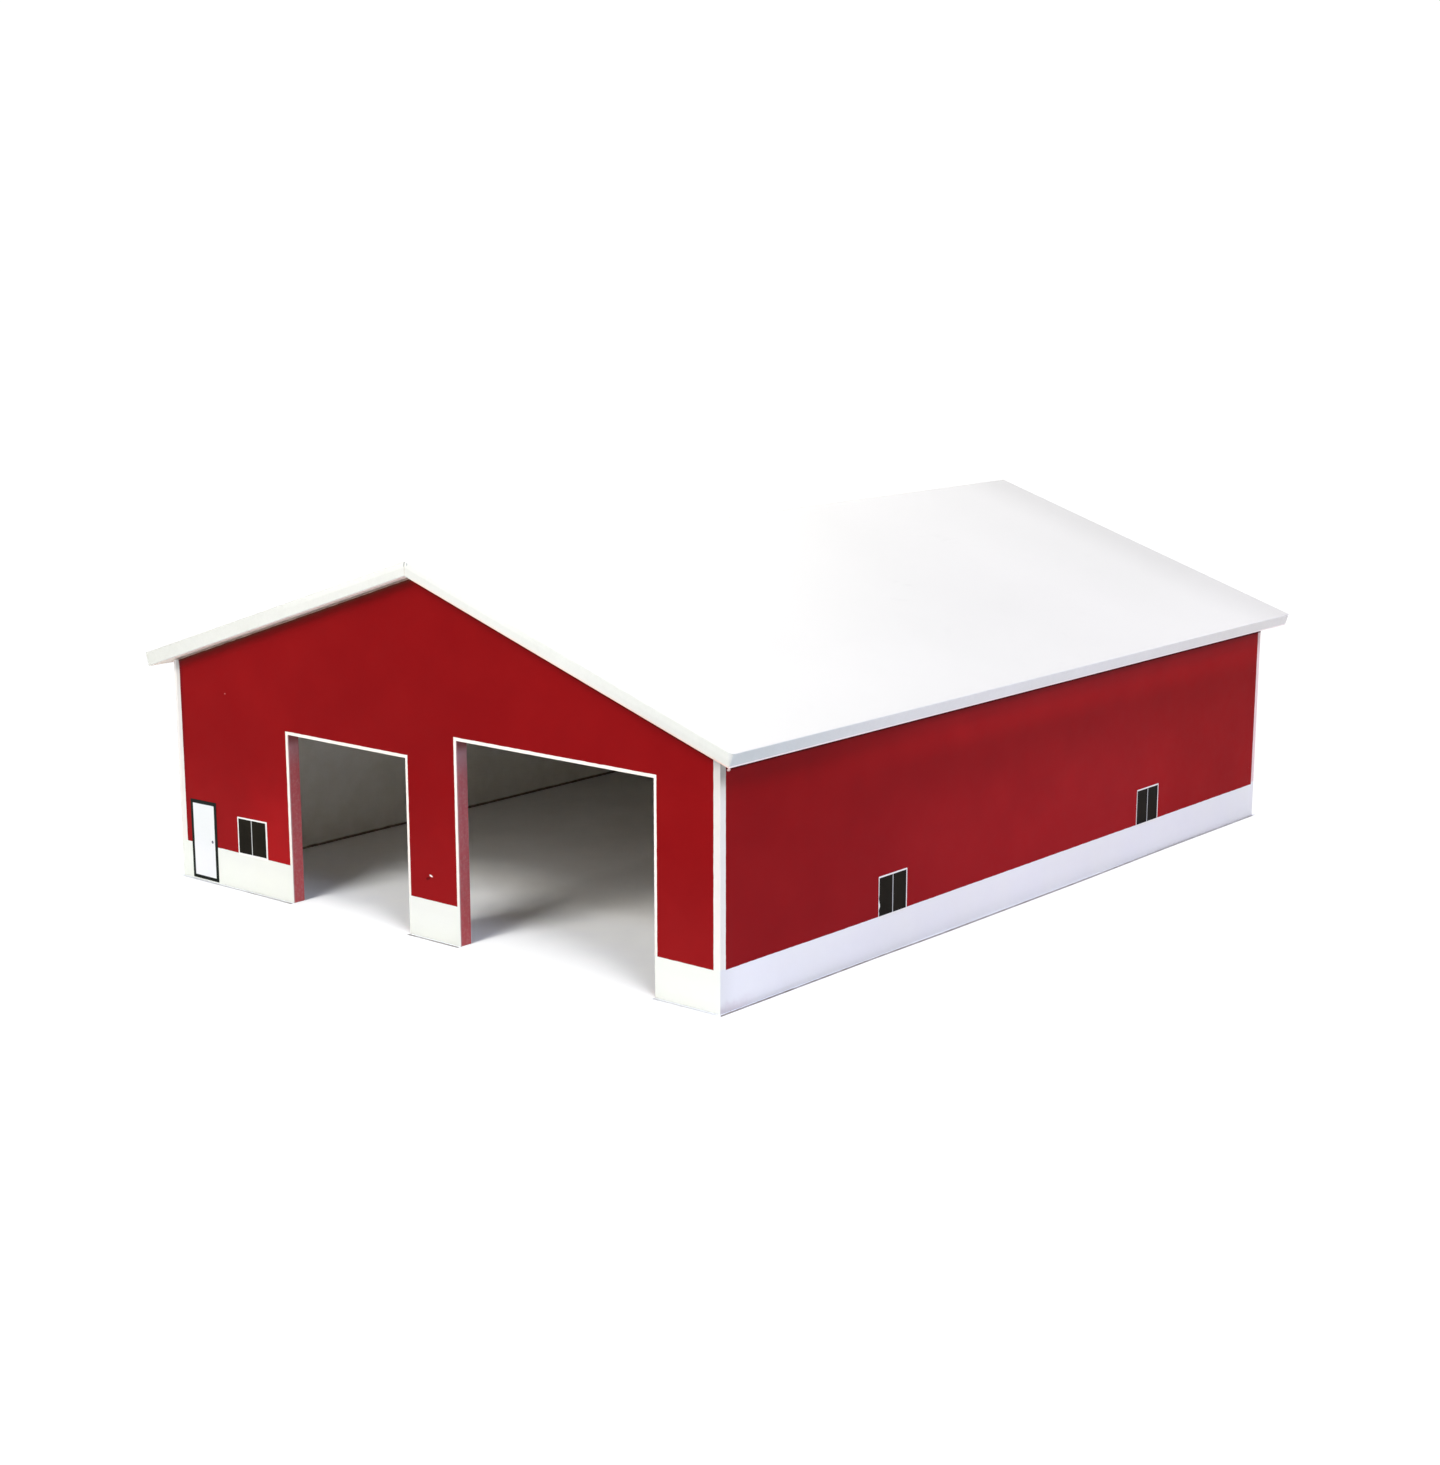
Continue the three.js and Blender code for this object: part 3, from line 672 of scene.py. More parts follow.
def make_floor():
    mesh = bpy.data.meshes.new("floor")
    bm = bmesh.new()
    rings = [0.0, 0.5, 1.2, 3.0, 8.0, 20.0]
    centre = bm.verts.new((0, 0, 0))
    last = None
    for r in rings[1:]:
        ring = [bm.verts.new((r * math.cos(t * math.tau / 48), r * math.sin(t * math.tau / 48), 0)) for t in range(48)]
        for i in range(48):
            j = (i + 1) % 48
            bm.faces.new((centre, ring[i], ring[j]) if last is None else (last[i], ring[i], ring[j], last[j]))
        last = ring
    bm.to_mesh(mesh)
    bm.free()
    floor = bpy.data.objects.new("floor", mesh)
    scene.collection.objects.link(floor)
    g = Graph("pale_floor")
    # the floor glows white for the camera only, all round the shed; its foot and what lies inside it keep their shade
    away_x = g.math("SUBTRACT", g.math("ABSOLUTE", g.x), HW)
    away_front = g.math("SUBTRACT", FRONT, g.y)
    away_rear = g.math("SUBTRACT", g.y, REAR)
    away = g.either(away_x, away_front, away_rear)
    # the right side's foot bows a little: the line runs further out near its middle and close in at the rear
    bow = g.math("SUBTRACT", g.both(g.scaled(g.y, -0.11, -0.05, 0.0, 0.00055, smooth=True), g.scaled(g.y, 0.03, 0.09, 1.0, 0.0, smooth=True)), g.scaled(g.y, 0.07, 0.12, 0.0, 0.00035, smooth=True))
    away = g.math("SUBTRACT", away, g.math("MULTIPLY", bow, g.rise(g.x, 0.13, 0.005)))
    burnt = g.scaled(away, 0.0014, 0.0023, 0.0, 1.0, smooth=True)
    # the burnt-out white reaches a little way in through the doorways, in a soft bow
    inward = g.math("SUBTRACT", g.y, FRONT)
    reach = []
    for (left, right_, _), deep, level, power in ((SMALL_DOOR, 0.0208, 0.40, 1.35), (LARGE_DOOR, 0.0425, 0.14, 1.6)):
        along = g.scaled(g.x, left, right_, 0.0, 1.0)
        bow = g.inverse(g.math("POWER", g.scaled(along, level, 1.0, 0.0, 1.0), power))
        end = g.math("ADD", g.math("MULTIPLY", bow, deep), 0.0025)
        fade = g.math("DIVIDE", g.math("ADD", inward, 0.0005), end)
        left_edge = g.scaled(along, 0.0, 0.11, 0.76, 1.0, smooth=True)
        reach.append(g.both(g.scaled(fade, 0.0, 1.0, 1.0, 0.0, smooth=True), left_edge, g.rise(g.x, left, 0.0006), g.fall(g.x, right_, 0.0006)))
    feather = g.either(*reach)
    share = g.math("MULTIPLY", g.either(burnt, feather), 0.93)
    sheet = g.noise(30, 3, 0.55)
    pale = g.times((0.93, 0.950, 0.968), g.scaled(sheet, 0.3, 0.7, 0.97, 1.03))
    # inside, painted light and shade: the sheet is cooler near the doorways and duller further in, and lighter close
    # behind the pier and duller deeper behind it
    pale = g.mix(g.scaled(inward, 0.045, 0.085, 1.0, 0.0, smooth=True), pale, g.tinted(pale, (1.0, 1.02, 1.06)))
    pale = g.times(pale, g.scaled(inward, 0.095, 0.150, 1.0, 0.91, smooth=True))
    behind = g.both(g.rise(g.x, -0.012, 0.008), g.fall(g.x, 0.024, 0.010), g.rise(inward, 0.0, 0.001))
    pale = g.mix(behind, pale, g.times(pale, g.scaled(inward, 0.018, 0.062, 1.32, 0.88, smooth=True)))
    # a painted contact shadow: the fine dark line where the boards stand on it, clear along the sides, faint along the
    # gables, gone at the doorways
    ragged = g.scaled(g.noise(140, 3, 0.6), 0.3, 0.7, 0.80, 1.15)
    line = g.both(g.rise(away, 0.00045, 0.00030), g.fall(away, 0.00165, 0.00030), ragged)
    beside = g.rise(g.math("SUBTRACT", away_x, g.either(away_front, away_rear)), 0.0, 0.0002)
    along_side = g.both(
        beside,
        g.scaled(g.y, -0.19, 0.16, 0.86, 0.62),
        g.fall(g.y, REAR - 0.0012, 0.0008),
        g.either(g.rise(g.x, 0.0, 0.01), g.rise(g.y, FRONT + 0.006, 0.003)),
    )
    near_left, far_right = g.fall(g.x, -0.045, 0.004), g.rise(g.x, 0.065, 0.004)
    along_gable = g.either(
        g.both(near_left, g.scaled(g.x, -0.138, -0.078, 0.26, 0.72)),
        g.both(far_right, g.scaled(g.x, 0.113, 0.140, 0.50, 0.30)),
        g.both(g.inverse(near_left), g.inverse(far_right), 0.74),
    )
    inside_door = g.either(*(g.both(g.rise(g.x, d[0], 0.0003), g.fall(g.x, d[1], 0.0003)) for d in (SMALL_DOOR, LARGE_DOOR)))
    along_gable = g.both(along_gable, g.inverse(beside), g.inverse(g.both(inside_door, g.fall(g.y, 0.0, 0.01))), g.fall(g.math("ABSOLUTE", g.x), HW - 0.0005, 0.0005))
    pale = g.mix(g.both(line, g.either(along_side, along_gable)), pale, (0.080, 0.047, 0.018))
    g.finish(pale, 0.75, specular=0.1)
    path = g.node("ShaderNodeLightPath")
    glow = g.node("ShaderNodeEmission")
    glow.inputs["Color"].default_value = (1, 1, 1, 1)
    glow.inputs["Strength"].default_value = 1.085
    blend = g.node("ShaderNodeMixShader")
    g.put(blend.inputs[0], g.math("MULTIPLY", share, path.outputs["Is Camera Ray"]))
    g.tree.links.new(g.bsdf.outputs[0], blend.inputs[1])
    g.tree.links.new(glow.outputs[0], blend.inputs[2])
    g.tree.links.new(blend.outputs[0], g.out.inputs["Surface"])
    mesh.materials.append(g.material)
    return floor


make_floor()

# ---------------------------------------------------------------- materials
front_paint = painted_wall("front_wall_paint", gable_white([SMALL_DOOR, LARGE_DOOR]), low_glow=front_glow, marks_and_shade=front_marks_and_shade, white_tone=front_white_tone, painted_sheen=(front_painted_sheen, (0.75, 0.72, 0.72)), open_edge=True)
rear_paint = painted_wall("rear_wall_paint", gable_white([]), white_tone=front_white_tone)
# the side paint is set a lighter red and a cooler white than the front's, partly painted light for how the light falls
# on the sides
side_paint = painted_wall("side_wall_paint", side_white, 1.07, side_glow, side_marks_and_shade, SIDE_WHITE, side_white_tone, (side_painted_sheen, (0.50, 0.62, 0.90)), (0.06, (0.20, 0.19, 0.20), 0.00025), (0.04, 0.22))
inside = inner_paint("inner_wall_paint")
jamb = jamb_paint("doorway_edge_paint")


def spray_low(g):
    return g.scaled(g.z, 0.0, 0.0012, 0.35, 0.75)


def spray_top(g):
    return 0.35


board_foot = raw_board("board_foot", lambda g: g.scaled(g.noise(300, 3, 0.6), 0.35, 0.7, 0.1, 0.6), (0.62, 0.60, 0.54))
board_top = raw_board("board_top", lambda g: g.scaled(g.noise(240, 3, 0.6), 0.35, 0.7, 0.15, 0.75), (0.55, 0.20, 0.19))
bare = raw_board("bare_board")


# the roof's underside has one thin coat, thicker along the outer edges
def spray_under(g):
    depth = g.either(
        g.scaled(g.y, ROOF_Y0 + 0.007, ROOF_Y0 + 0.018, 1.0, 0.0, smooth=True),
        g.scaled(g.y, ROOF_Y1 - 0.016, ROOF_Y1 - 0.002, 0.0, 1.0, smooth=True),
        g.scaled(g.math("ABSOLUTE", g.x), HW - 0.012, HW + 0.004, 0.0, 1.0, smooth=True),
    )
    return g.math("ADD", g.math("MULTIPLY", depth, 0.72), 0.66)


# the coat's colour is set close to white, partly painted light for the shaded underside of the overhang
roof_under = raw_board("roof_underside", spray_under, (0.97, 0.885, 0.77))
roof_top = roof_paint("roof_top_paint")


def mitre_marks(g, colour):
    """The mitre's filler has sunk into a fine grey line near the top, with a small nick beside it."""
    near_front = g.fall(g.y, 0.0, 0.01)
    line = spot(g, g.x, g.z, 0.0, 0.1407, 0.00026, 0.0012, -0.276)
    nick = spot(g, g.x, g.z, 0.00138, 0.1405, 0.00026, 0.0006, -0.1)
    return g.mix(g.both(g.either(line, g.math("MULTIPLY", nick, 0.85)), near_front, 0.95), colour, (0.30, 0.33, 0.35))


def front_edge_tone(g, colour):
    """The front edge's coat dulls towards both eaves, most in its lower half, and a fine pinkish line along its right
    lower edge is a painted reflection of the red wall.
    """
    lower_edge = g.math("ADD", g.math("MULTIPLY", g.math("SUBTRACT", HW, g.math("ABSOLUTE", g.x)), SLOPE), EAVE_PLANE)
    up = g.math("SUBTRACT", g.z, lower_edge)
    colour = g.times(colour, g.math("ADD", 1.0, g.both(g.scaled(up, 0.0028, 0.0038, 0.0, 0.11, smooth=True), g.scaled(g.math("ABSOLUTE", g.x), 0.035, 0.085, 1.0, 0.0, smooth=True))))
    colour = g.times(colour, g.scaled(g.x, 0.0, 0.05, 0.975, 1.0, smooth=True))
    right = g.times(colour, g.both(g.scaled(g.x, 0.085, 0.126, 1.0, 0.975, smooth=True), g.inverse(g.both(g.scaled(g.x, 0.07, 0.12, 0.0, 0.05, smooth=True), g.scaled(up, 0.0020, 0.0034, 1.0, 0.0, smooth=True)))))
    left = g.times(colour, g.scaled(g.x, -0.140, -0.100, 1.0, 1.02, smooth=True))
    colour = g.mix(g.rise(g.x, 0.0, 0.002), left, right)
    line = g.both(g.fall(wavering(g, up, 0.00006, 300), 0.00050, 0.00010), g.rise(g.x, 0.004, 0.002), g.fall(g.y, 0.0, 0.01))
    return g.mix(line, colour, g.tinted(colour, (1.20, 0.86, 0.80)))


def eave_edge_tone(g, colour):
    """The eave's coat is darker and bluer near the front corner and yellows towards the rear; a painted pinkish
    highlight runs along its lower arris.
    """
    rear = g.scaled(g.y, 0.040, 0.150, 0.0, 1.0, smooth=True)
    colour = g.mix(rear, colour, g.tinted(colour, (0.985, 0.965, 0.935)))
    colour = g.times(colour, g.scaled(g.y, -0.10, -0.03, 1.0, 1.05, smooth=True))
    front = g.scaled(g.y, -0.187, -0.085, 1.0, 0.0, smooth=True)
    colour = g.mix(front, colour, g.tinted(colour, (0.80, 0.845, 0.845)))
    across = g.math("SUBTRACT", g.math("ABSOLUTE", g.x), HW + EAVE_OVERHANG["right"])
    up = g.math("ADD", g.math("MULTIPLY", across, SIN), g.math("MULTIPLY", g.math("SUBTRACT", g.z, EAVE_PLANE - EAVE_OVERHANG["right"] * SLOPE), COS))
    line = g.both(g.fall(wavering(g, up, 0.00006, 300), 0.00062, 0.00012), g.rise(g.x, 0.0, 0.01))
    return g.mix(g.math("MULTIPLY", line, 0.85), colour, (0.97, 0.86, 0.84))


roof_edge = roof_edge_paint("roof_front_edge_paint", marks=mitre_marks, tone=front_edge_tone)
eave_edge = roof_edge_paint("roof_eave_edge_paint", (0.750, 0.756, 0.738), tone=eave_edge_tone)


# ---------------------------------------------------------------- walls
def gable_outline(doors):
    pts = [(-HW, 0.0)]
    for left, right_, top in doors:
        pts += [(left, 0.0), (left, top), (right_, top), (right_, 0.0)]
    # the front gable's left slope comes closer to the roof
    left_gap = LEFT_GABLE_GAP if doors else GABLE_GAP
    pts += [(HW, 0.0), (HW, under(HW) - GABLE_GAP), (0.0, under(0) - left_gap), (-HW, under(-HW) - left_gap)]
    return pts


def gable_ease(outer_y, inner_y, doors):
    def ease(m, d, e):
        on_outer = near(m.y, outer_y)
        on_inner = near(m.y, inner_y)
        if abs(d.y) > 0.5:
            # edges through the thickness: the wall's corners at the foot and the doorways' corners at the foot
            if m.z < 1e-5:
                return 0.00015
            return 0.0
        if on_outer:
            if abs(m.x) > HW - 1e-5:
                return 0.00028
            if m.z < 1e-5:
                return 0.00015
            if m.z > EAVE_PLANE - 0.002:
                return 0.00018 if doors and m.x < 0 else 0.0003
            return 0.00016
        if on_inner:
            if m.z < 1e-5:
                return 0.00045
            if abs(m.x) > HW - 1e-5:
                return 0.0
            if m.z > EAVE_PLANE - 0.002:
                return 0.0003
            return 0.0002
        return 0.0

    return ease


def gable_choice(outer_y, outside, with_doors):
    toward = -1 if outer_y < 0 else 1

    def choose(c, n):
        if n.y * toward > 0.4:
            return outside
        if n.y * toward < -0.6:
            return "inside"
        if abs(c.x) > HW - 0.0004 and abs(n.x) > 0.4:
            return "side"
        if with_doors and abs(c.x) < HW - 0.01 and c.z < LARGE_DOOR[2] + 0.0005 and (abs(n.x) > 0.4 or n.z < -0.4) and c.z > 0.0002:
            return "jamb"
        if n.z < -0.4:
            return "foot"
        return "top"

    return choose


wall_materials = {
    "front": front_paint,
    "rear": rear_paint,
    "side": side_paint,
    "inside": inside,
    "jamb": jamb,
    "foot": board_foot,
    "top": board_top,
}


def pick(*names):
    return {n: wall_materials[n] for n in names}


doors = [SMALL_DOOR, LARGE_DOOR]
front_board = board(
    "front_gable_board",
    prism(gable_outline(doors), FRONT, FRONT_IN, "Y"),
    gable_ease(FRONT, FRONT_IN, doors),
    0.0005,
)
dress(front_board, pick("front", "side", "inside", "jamb", "foot", "top"), gable_choice(FRONT, "front", True))

rear_board = board(
    "rear_gable_board",
    prism(gable_outline([]), REAR_IN, REAR, "Y"),
    gable_ease(REAR, REAR_IN, []),
    0.0005,
)
dress(rear_board, pick("rear", "side", "inside", "foot", "top"), gable_choice(REAR, "rear", False))


def side_board(side, s):
    gap = 0.0003
    section = [
        (s * HW, 0.0),
        (s * HW, under(s * HW) - gap),
        (s * HW_IN, under(s * HW_IN) - gap),
        (s * HW_IN, 0.0),
    ]

    def ease(m, d, e):
        if abs(d.y) < 0.5:
            return 0.0
        outer = near(m.x, s * HW)
        if m.z < 1e-5:
            return 0.00015 if outer else 0.0005
        return 0.0003 if outer else 0.0002

    obj = board(f"side_board_{side}", prism(section, FRONT_IN, REAR_IN, "Y"), ease, 0.0005)

    def choose(c, n):
        if n.x * s > 0.4:
            return "side"
        if n.x * s < -0.6:
            return "inside"
        if n.z < -0.3:
            return "foot"
        return "top"

    dress(obj, pick("side", "inside", "foot", "top"), choose)
    return obj


right_board = side_board("right", 1)
left_board = side_board("left", -1)

for piece, node in (
    (front_board, "front_wall"),
    (rear_board, "rear_wall"),
    (right_board, "right_wall"),
    (left_board, "left_wall"),
):
    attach(piece, "walls")
    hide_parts(node)


# ---------------------------------------------------------------- prints
def rounded(u0, v0, u1, v1, radius, steps=4):
    pts = []
    for cu, cv, start in ((u1 - radius, v0 + radius, -90), (u1 - radius, v1 - radius, 0), (u0 + radius, v1 - radius, 90), (u0 + radius, v0 + radius, 180)):
        for k in range(steps + 1):
            t = math.radians(start + 90 * k / steps)
            pts.append((cu + radius * math.cos(t), cv + radius * math.sin(t)))
    return pts


def sticker(name, node, low, high, axis, material, radius=0.00025, outline=None):
    """A thin film with softly rounded corners, standing for a CAD print."""
    if axis == "Y":
        outline = outline or rounded(low.x, low.z, high.x, high.z, radius)
        bm = prism(outline, low.y, high.y, "Y")
    else:
        outline = rounded(low.y, low.z, high.y, high.z, radius)
        bm = prism(outline, low.x, high.x, "X")

    # only the outer rim is eased
    outer = low.y if axis == "Y" else (high.x if high.x > 0 else low.x)

    def ease(m, d, e):
        at = m.y if axis == "Y" else m.x
        return 0.00004 if near(at, outer, 1e-6) else 0.0

    obj = board(name, bm, ease, 0.00004, segments=2)
    obj.data.materials.append(material)
    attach(obj, "walls")
    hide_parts(node)
    return obj


def print_detail(g):
    grain = g.noise(1900, 2, 0.6)
    sheen = g.noise(60, 2, 0.5)
    normal = g.bump(g.math("ADD", grain, g.math("MULTIPLY", sheen, 2.0)), 0.00002, 0.5)
    return grain, sheen, normal


def inside_edge(g, x, z, a, b, line, soft=0.00006):
    """1 on the inner side of the edge from a to b, seen counter-clockwise, further than line from it."""
    length = math.hypot(b[0] - a[0], b[1] - a[1])
    nx, nz = -(b[1] - a[1]) / length, (b[0] - a[0]) / length
    away = g.math("ADD", g.math("MULTIPLY", g.math("SUBTRACT", x, a[0]), nx), g.math("MULTIPLY", g.math("SUBTRACT", z, a[1]), nz))
    return g.rise(away, line, soft)


def round_corners(points, radius, steps=4):
    """The outline of a four-cornered film with softly rounded corners."""
    found = []
    for i, p in enumerate(points):
        p = Vector(p)
        before, after = Vector(points[i - 1]) - p, Vector(points[(i + 1) % len(points)]) - p
        a, b = p + before.normalized() * radius, p + after.normalized() * radius
        for k in range(steps + 1):
            t = k / steps
            q = a * (1 - t) ** 2 + p * 2 * t * (1 - t) + b * t * t
            found.append((q.x, q.y))
    return found


def door_print():
    g = Graph("entry_door_print_film")
    x = wavering(g, g.x, 0.00003)
    z = wavering(g, g.z, 0.00003)
    edges = list(zip(ENTRY_DOOR, ENTRY_DOOR[1:] + ENTRY_DOOR[:1]))
    leaf = g.both(*(inside_edge(g, x, z, a, b, line) for (a, b), line in zip(edges, (0.00141, 0.00157, 0.00153, 0.00153))))
    grain, sheen, normal = print_detail(g)
    white = g.mix(g.scaled(sheen, 0.35, 0.7, 0.0, 1.0), (0.776, 0.800, 0.808), (0.762, 0.790, 0.796))
    white = g.times(white, g.scaled(grain, 0.25, 0.75, 0.985, 1.015))
    # the leaf is painted lighter low down: painted light, as on the red beside it
    white = g.mix(g.scaled(g.z, 0.006, 0.023, 1.0, 0.0, smooth=True), white, g.tinted(white, (1.065, 1.045, 1.07)))
    black = g.times((0.010, 0.0125, 0.010), g.scaled(grain, 0.25, 0.75, 0.8, 1.3))
    colour = g.mix(leaf, black, white)
    dx = g.math("SUBTRACT", x, -123.3 * MM)
    dz = g.math("SUBTRACT", z, 16.8 * MM)
    r = g.math("SQRT", g.math("ADD", g.math("MULTIPLY", dx, dx), g.math("MULTIPLY", dz, dz)))
    knob = g.fall(r, 0.00060, 0.00009)
    glint = g.fall(r, 0.00018, 0.00012)
    colour = g.mix(knob, colour, (0.10, 0.105, 0.15))
    colour = g.mix(g.math("MULTIPLY", glint, 0.35), colour, (0.45, 0.50, 0.55))
    return g.finish(colour, g.scaled(sheen, 0.3, 0.7, 0.40, 0.50), normal, specular=0.06)


def window_print(name, node, axis, mullion, line, left_line=None, waver=False, low_left=0.0):
    g = Graph(name)
    low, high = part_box(node)
    along = g.x if axis == "Y" else g.y
    a0, a1 = (low.x, high.x) if axis == "Y" else (low.y, high.y)
    u = wavering(g, along, 0.00003)
    z = wavering(g, g.z, 0.00003)
    if waver:
        # this film lifted a little along its lower left edge, so its line wanders there
        wander = g.both(
            g.scaled(g.noise(320, 1, 0.5), 0.35, 0.65, -0.00045, 0.00045),
            g.fall(g.z, 0.0215, 0.003),
            g.fall(along, a0 + 0.003, 0.0015),
        )
        u = g.math("ADD", u, wander)
    glass = g.both(
        g.rise(u, a0 + (left_line or line), 0.00005),
        g.fall(u, a1 - (0.00082 if axis == "Y" else line), 0.00005),
        g.rise(g.math("SUBTRACT", z, g.scaled(along, a0, a1, 0.0002, 0.00045) if axis == "Y" else -SIDE_BAND_DROP), BAND_TOP + 0.00004, 0.00005),
        g.fall(g.math("ADD", z, g.scaled(along, a0, a1, low_left, 0.0)), high.z - line, 0.00005),
    )
    bar = g.both(
        g.rise(u, mullion - 0.00021, 0.00005),
        g.fall(u, mullion + 0.00021, 0.00005),
    )
    grain, sheen, normal = print_detail(g)
    frame_white = g.times((0.86, 0.86, 0.83), g.scaled(grain, 0.25, 0.75, 0.98, 1.02))
    dark = g.mix(g.scaled(g.noise(120, 2, 0.5), 0.35, 0.7, 0.0, 1.0), (0.0108, 0.0092, 0.0060), (0.0148, 0.0126, 0.0082))
    dark = g.times(dark, g.scaled(grain, 0.25, 0.75, 0.85, 1.2))
    dark = g.mix(bar, dark, (0.55, 0.57, 0.57))
    colour = g.mix(glass, frame_white, dark)
    return g.finish(colour, g.scaled(sheen, 0.3, 0.7, 0.42, 0.52), normal, specular=0.03)


sticker("entry_door_film", "entry_door_print", *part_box("entry_door_print"), "Y", door_print(), outline=round_corners(ENTRY_DOOR, 0.00025))
low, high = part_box("front_window_print")
window_drop = 0.0004
sticker(
    "front_window_film",
    "front_window_print",
    low,
    high,
    "Y",
    window_print("front_window_print_film", "front_window_print", "Y", -98.6 * MM, 0.0006, low_left=window_drop),
    outline=round_corners([(low.x, low.z), (high.x, low.z), (high.x, high.z), (low.x, high.z - window_drop)], 0.00025),
)
for side in ("right", "left"):
    for end, offset in (("front", 97.9), ("rear", 280.0)):
        node = f"{side}_window_print_{end}"
        sticker(
            f"{side}_window_film_{end}",
            node,
            *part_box(node),
            "X",
            window_print(f"{side}_window_print_film_{end}", node, "X", FRONT + offset * MM, 0.00055, 0.00032, waver=(side, end) == ("right", "front")),
        )


# ---------------------------------------------------------------- roof
CORNER = 2.7 * MM


def roof_panel(side, s):
    xe = HW + EAVE_OVERHANG[side]
    ze = EAVE_PLANE - EAVE_OVERHANG[side] * SLOPE
    joint = 0.00001
    section = [
        (s * joint, under(s * joint)),
        (s * xe, under(s * xe)),
        (s * (xe + ROOF_BOARD * SIN), ze + ROOF_BOARD * COS),
        (s * joint, over(joint)),
    ]
    out = Vector((s * COS, 0, -SIN))  # down the slope
    upw = Vector((s * SIN, 0, COS))
    eave_mid = Vector((s * (xe + ROOF_BOARD * SIN / 2), 0, ze + ROOF_BOARD * COS / 2))

    def ease(m, d, e):
        at_end = near(abs(m.y), ROOF_Y1) or near(m.y, ROOF_Y0) or near(m.y, ROOF_Y1)
        if abs(m.x) < 1e-4:
            return 0.00006 if at_end or m.z > over(0) - 0.0002 else 0.0
        if abs(d.y) > 0.5:
            # long edges at the eave
            return 0.0005 if (m - eave_mid).dot(upw) > 0 else 0.00025
        if at_end:
            if abs(d.dot(upw)) > 0.9 and (m - eave_mid).dot(out) > -0.0005:
                return (CORNER if s > 0 else 0.0004) if m.y < 0 else 0.0012
            if (m - Vector((m.x, 0, (under(m.x) + over(m.x)) / 2))).z > 0:
                return 0.0004
            return 0.00018 if s > 0 else 0.0006
        return 0.0

    def cone(co):
        """The right front corner is sanded off wide at the top and hardly at all at the foot."""
        along, deep = co.y - ROOF_Y0, -(co - eave_mid).dot(out)
        if s < 0 or along > CORNER + 1e-5 or deep > CORNER + 1e-5:
            return co
        height = (co - eave_mid).dot(upw) / ROOF_BOARD + 0.5
        share = 0.18 + 0.82 * max(0.0, min(1.0, height))
        return co - Vector((0, 1, 0)) * along * (1 - share) + out * deep * (1 - share)

    obj = board(f"roof_panel_{side}", prism(section, ROOF_Y0, ROOF_Y1, "Y"), ease, CORNER, segments=8, reshape=cone)

    def choose(c, n):
        if n.dot(upw) > 0.75:
            return "top"
        if n.dot(upw) < -0.75:
            return "under"
        if abs(n.y) > 0.6:
            return "edge"
        if abs(c.x) < 0.001:
            return "bare"
        return "eave"

    dress(obj, {"top": roof_top, "edge": roof_edge, "eave": eave_edge, "under": roof_under, "bare": bare}, choose)
    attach(obj, "roof")
    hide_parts(f"roof_board_{side}")
    return obj


roof_panel("right", 1)
roof_panel("left", -1)


def roof_inner(name, node, outline, low, high, width):
    def ease(m, d, e):
        if abs(d.y) > 0.5:
            return width if m.z < 0.1 else 0.0
        return width

    obj = board(name, prism(outline, low, high, "Y"), ease, width)
    obj.data.materials.append(bare)
    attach(obj, "roof")
    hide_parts(node)
    return obj


for end in ("front", "rear"):
    low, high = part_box(f"roof_gusset_{end}")
    glue = 0.00008
    roof_inner(
        f"gusset_board_{end}",
        f"roof_gusset_{end}",
        [
            (low.x, low.z),
            (high.x, low.z),
            (high.x, under(high.x) - glue),
            (0.0, under(0) - glue),
            (low.x, under(low.x) - glue),
        ],
        low.y,
        high.y,
        0.0003,
    )

low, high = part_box("ridge_batten")
top_z = under(0) - 0.00008
roof_inner(
    "ridge_batten_strip",
    "ridge_batten",
    [
        (-0.007, top_z - 0.007),
        (0.007, top_z - 0.007),
        (0.009, top_z - 0.009 * SLOPE - 0.0012),
        (0.009, top_z - 0.009 * SLOPE),
        (0.0, top_z),
        (-0.009, under(-0.009) - 0.00008),
        (-0.009, top_z - 0.009 * SLOPE - 0.0012),
    ],
    low.y,
    high.y,
    0.0002,
)


# ---------------------------------------------------------------- brads
def brad_steel():
    g = Graph("brad_wire")
    drawn = g.noise(900, 2, 0.6, vector=g.stretched((1.0, 0.08, 1.0)))
    spot = g.noise(700, 3, 0.7)
    colour = g.mix(g.scaled(spot, 0.5, 0.75, 0.0, 0.5), (0.56, 0.57, 0.58), (0.36, 0.33, 0.30))
    return g.finish(colour, g.scaled(drawn, 0.3, 0.7, 0.28, 0.45), g.bump(drawn, 0.00001, 0.5), specular=0.5, Metallic=1.0)


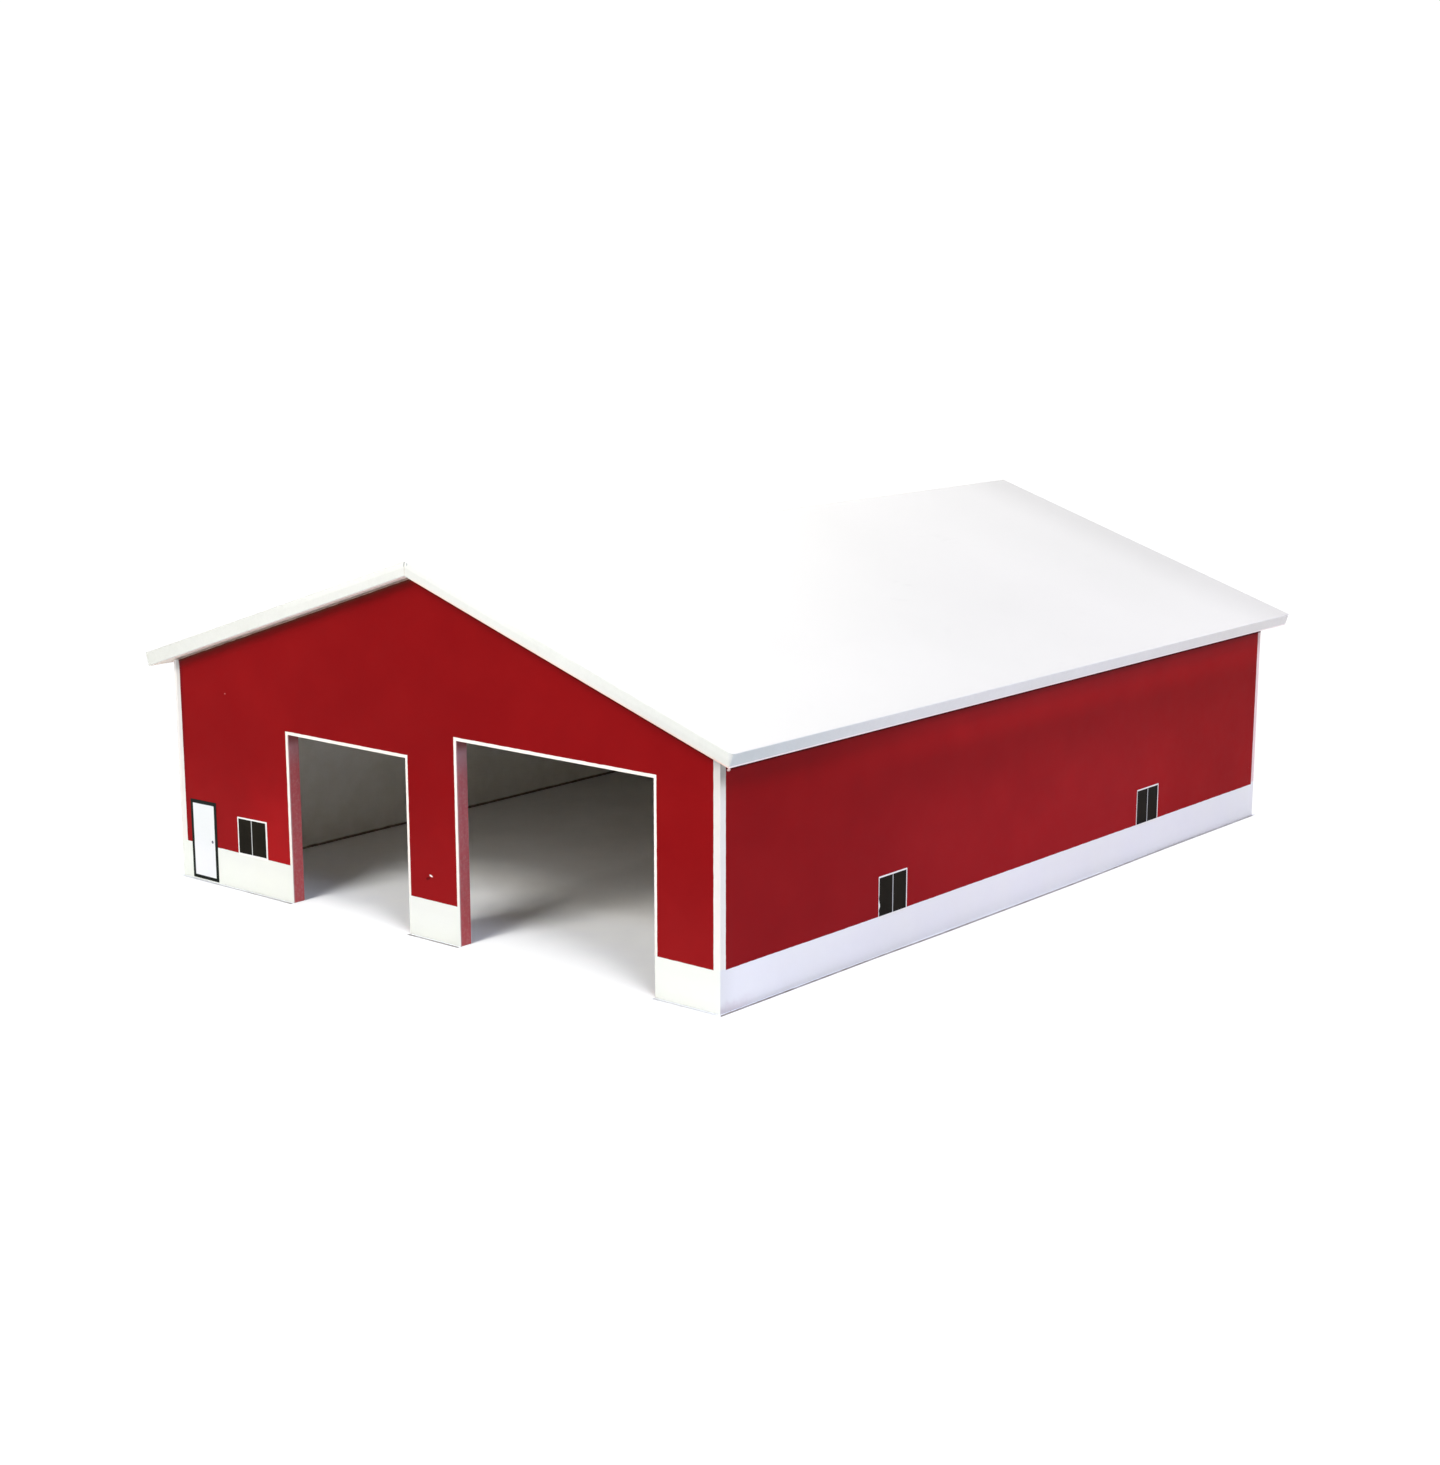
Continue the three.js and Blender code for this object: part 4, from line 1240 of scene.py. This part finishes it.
steel = brad_steel()
for node_name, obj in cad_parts.items():
    if "brad" in node_name:
        obj.data.materials.clear()
        obj.data.materials.append(steel)

# ---------------------------------------------------------------- light
world = bpy.data.worlds.new("studio")
scene.world = world
world.use_nodes = True
wt = world.node_tree
wt.nodes.clear()
world_out = wt.nodes.new("ShaderNodeOutputWorld")
seen = wt.nodes.new("ShaderNodeBackground")
seen.inputs["Color"].default_value = (1, 1, 1, 1)
seen.inputs["Strength"].default_value = 1.02
fill = wt.nodes.new("ShaderNodeBackground")
fill.inputs["Color"].default_value = (1, 1, 1, 1)
fill.inputs["Strength"].default_value = 0.05
blend = wt.nodes.new("ShaderNodeMixShader")
path = wt.nodes.new("ShaderNodeLightPath")
wt.links.new(path.outputs["Is Camera Ray"], blend.inputs[0])
wt.links.new(fill.outputs[0], blend.inputs[1])
wt.links.new(seen.outputs[0], blend.inputs[2])
wt.links.new(blend.outputs[0], world_out.inputs["Surface"])


def soft_box(name, place, target, width, height, power, colour):
    data = bpy.data.lights.new(name, "AREA")
    data.shape = "RECTANGLE"
    data.size = width
    data.size_y = height
    data.energy = power
    data.color = colour
    obj = bpy.data.objects.new(name, data)
    scene.collection.objects.link(obj)
    obj.location = place
    obj.rotation_mode = "QUATERNION"
    obj.rotation_quaternion = (Vector(target) - Vector(place)).to_track_quat("-Z", "Y")
    obj.visible_camera = False
    return obj


middle = (0.0, -0.05, 0.03)
soft_box("key_light", (0.0, -1.258, 1.025), middle, 0.6, 0.44, 14.6, (1.0, 0.965, 0.90))
soft_box("front_fill", (0.0, -1.50, 0.706), middle, 1.2, 0.5, 5.5, (1.0, 1.0, 0.98))
soft_box("right_fill", (1.013, -0.229, 1.256), middle, 1.3, 0.5, 13.8, (0.75, 0.79, 1.0))
soft_box("right_back_fill", (0.98, 0.93, 0.83), middle, 0.9, 0.9, 8.5, (1.0, 0.92, 0.95))
soft_box("left_back_fill", (-0.98, 0.93, 0.83), middle, 0.9, 0.9, 12.0, (1.0, 1.0, 0.88))
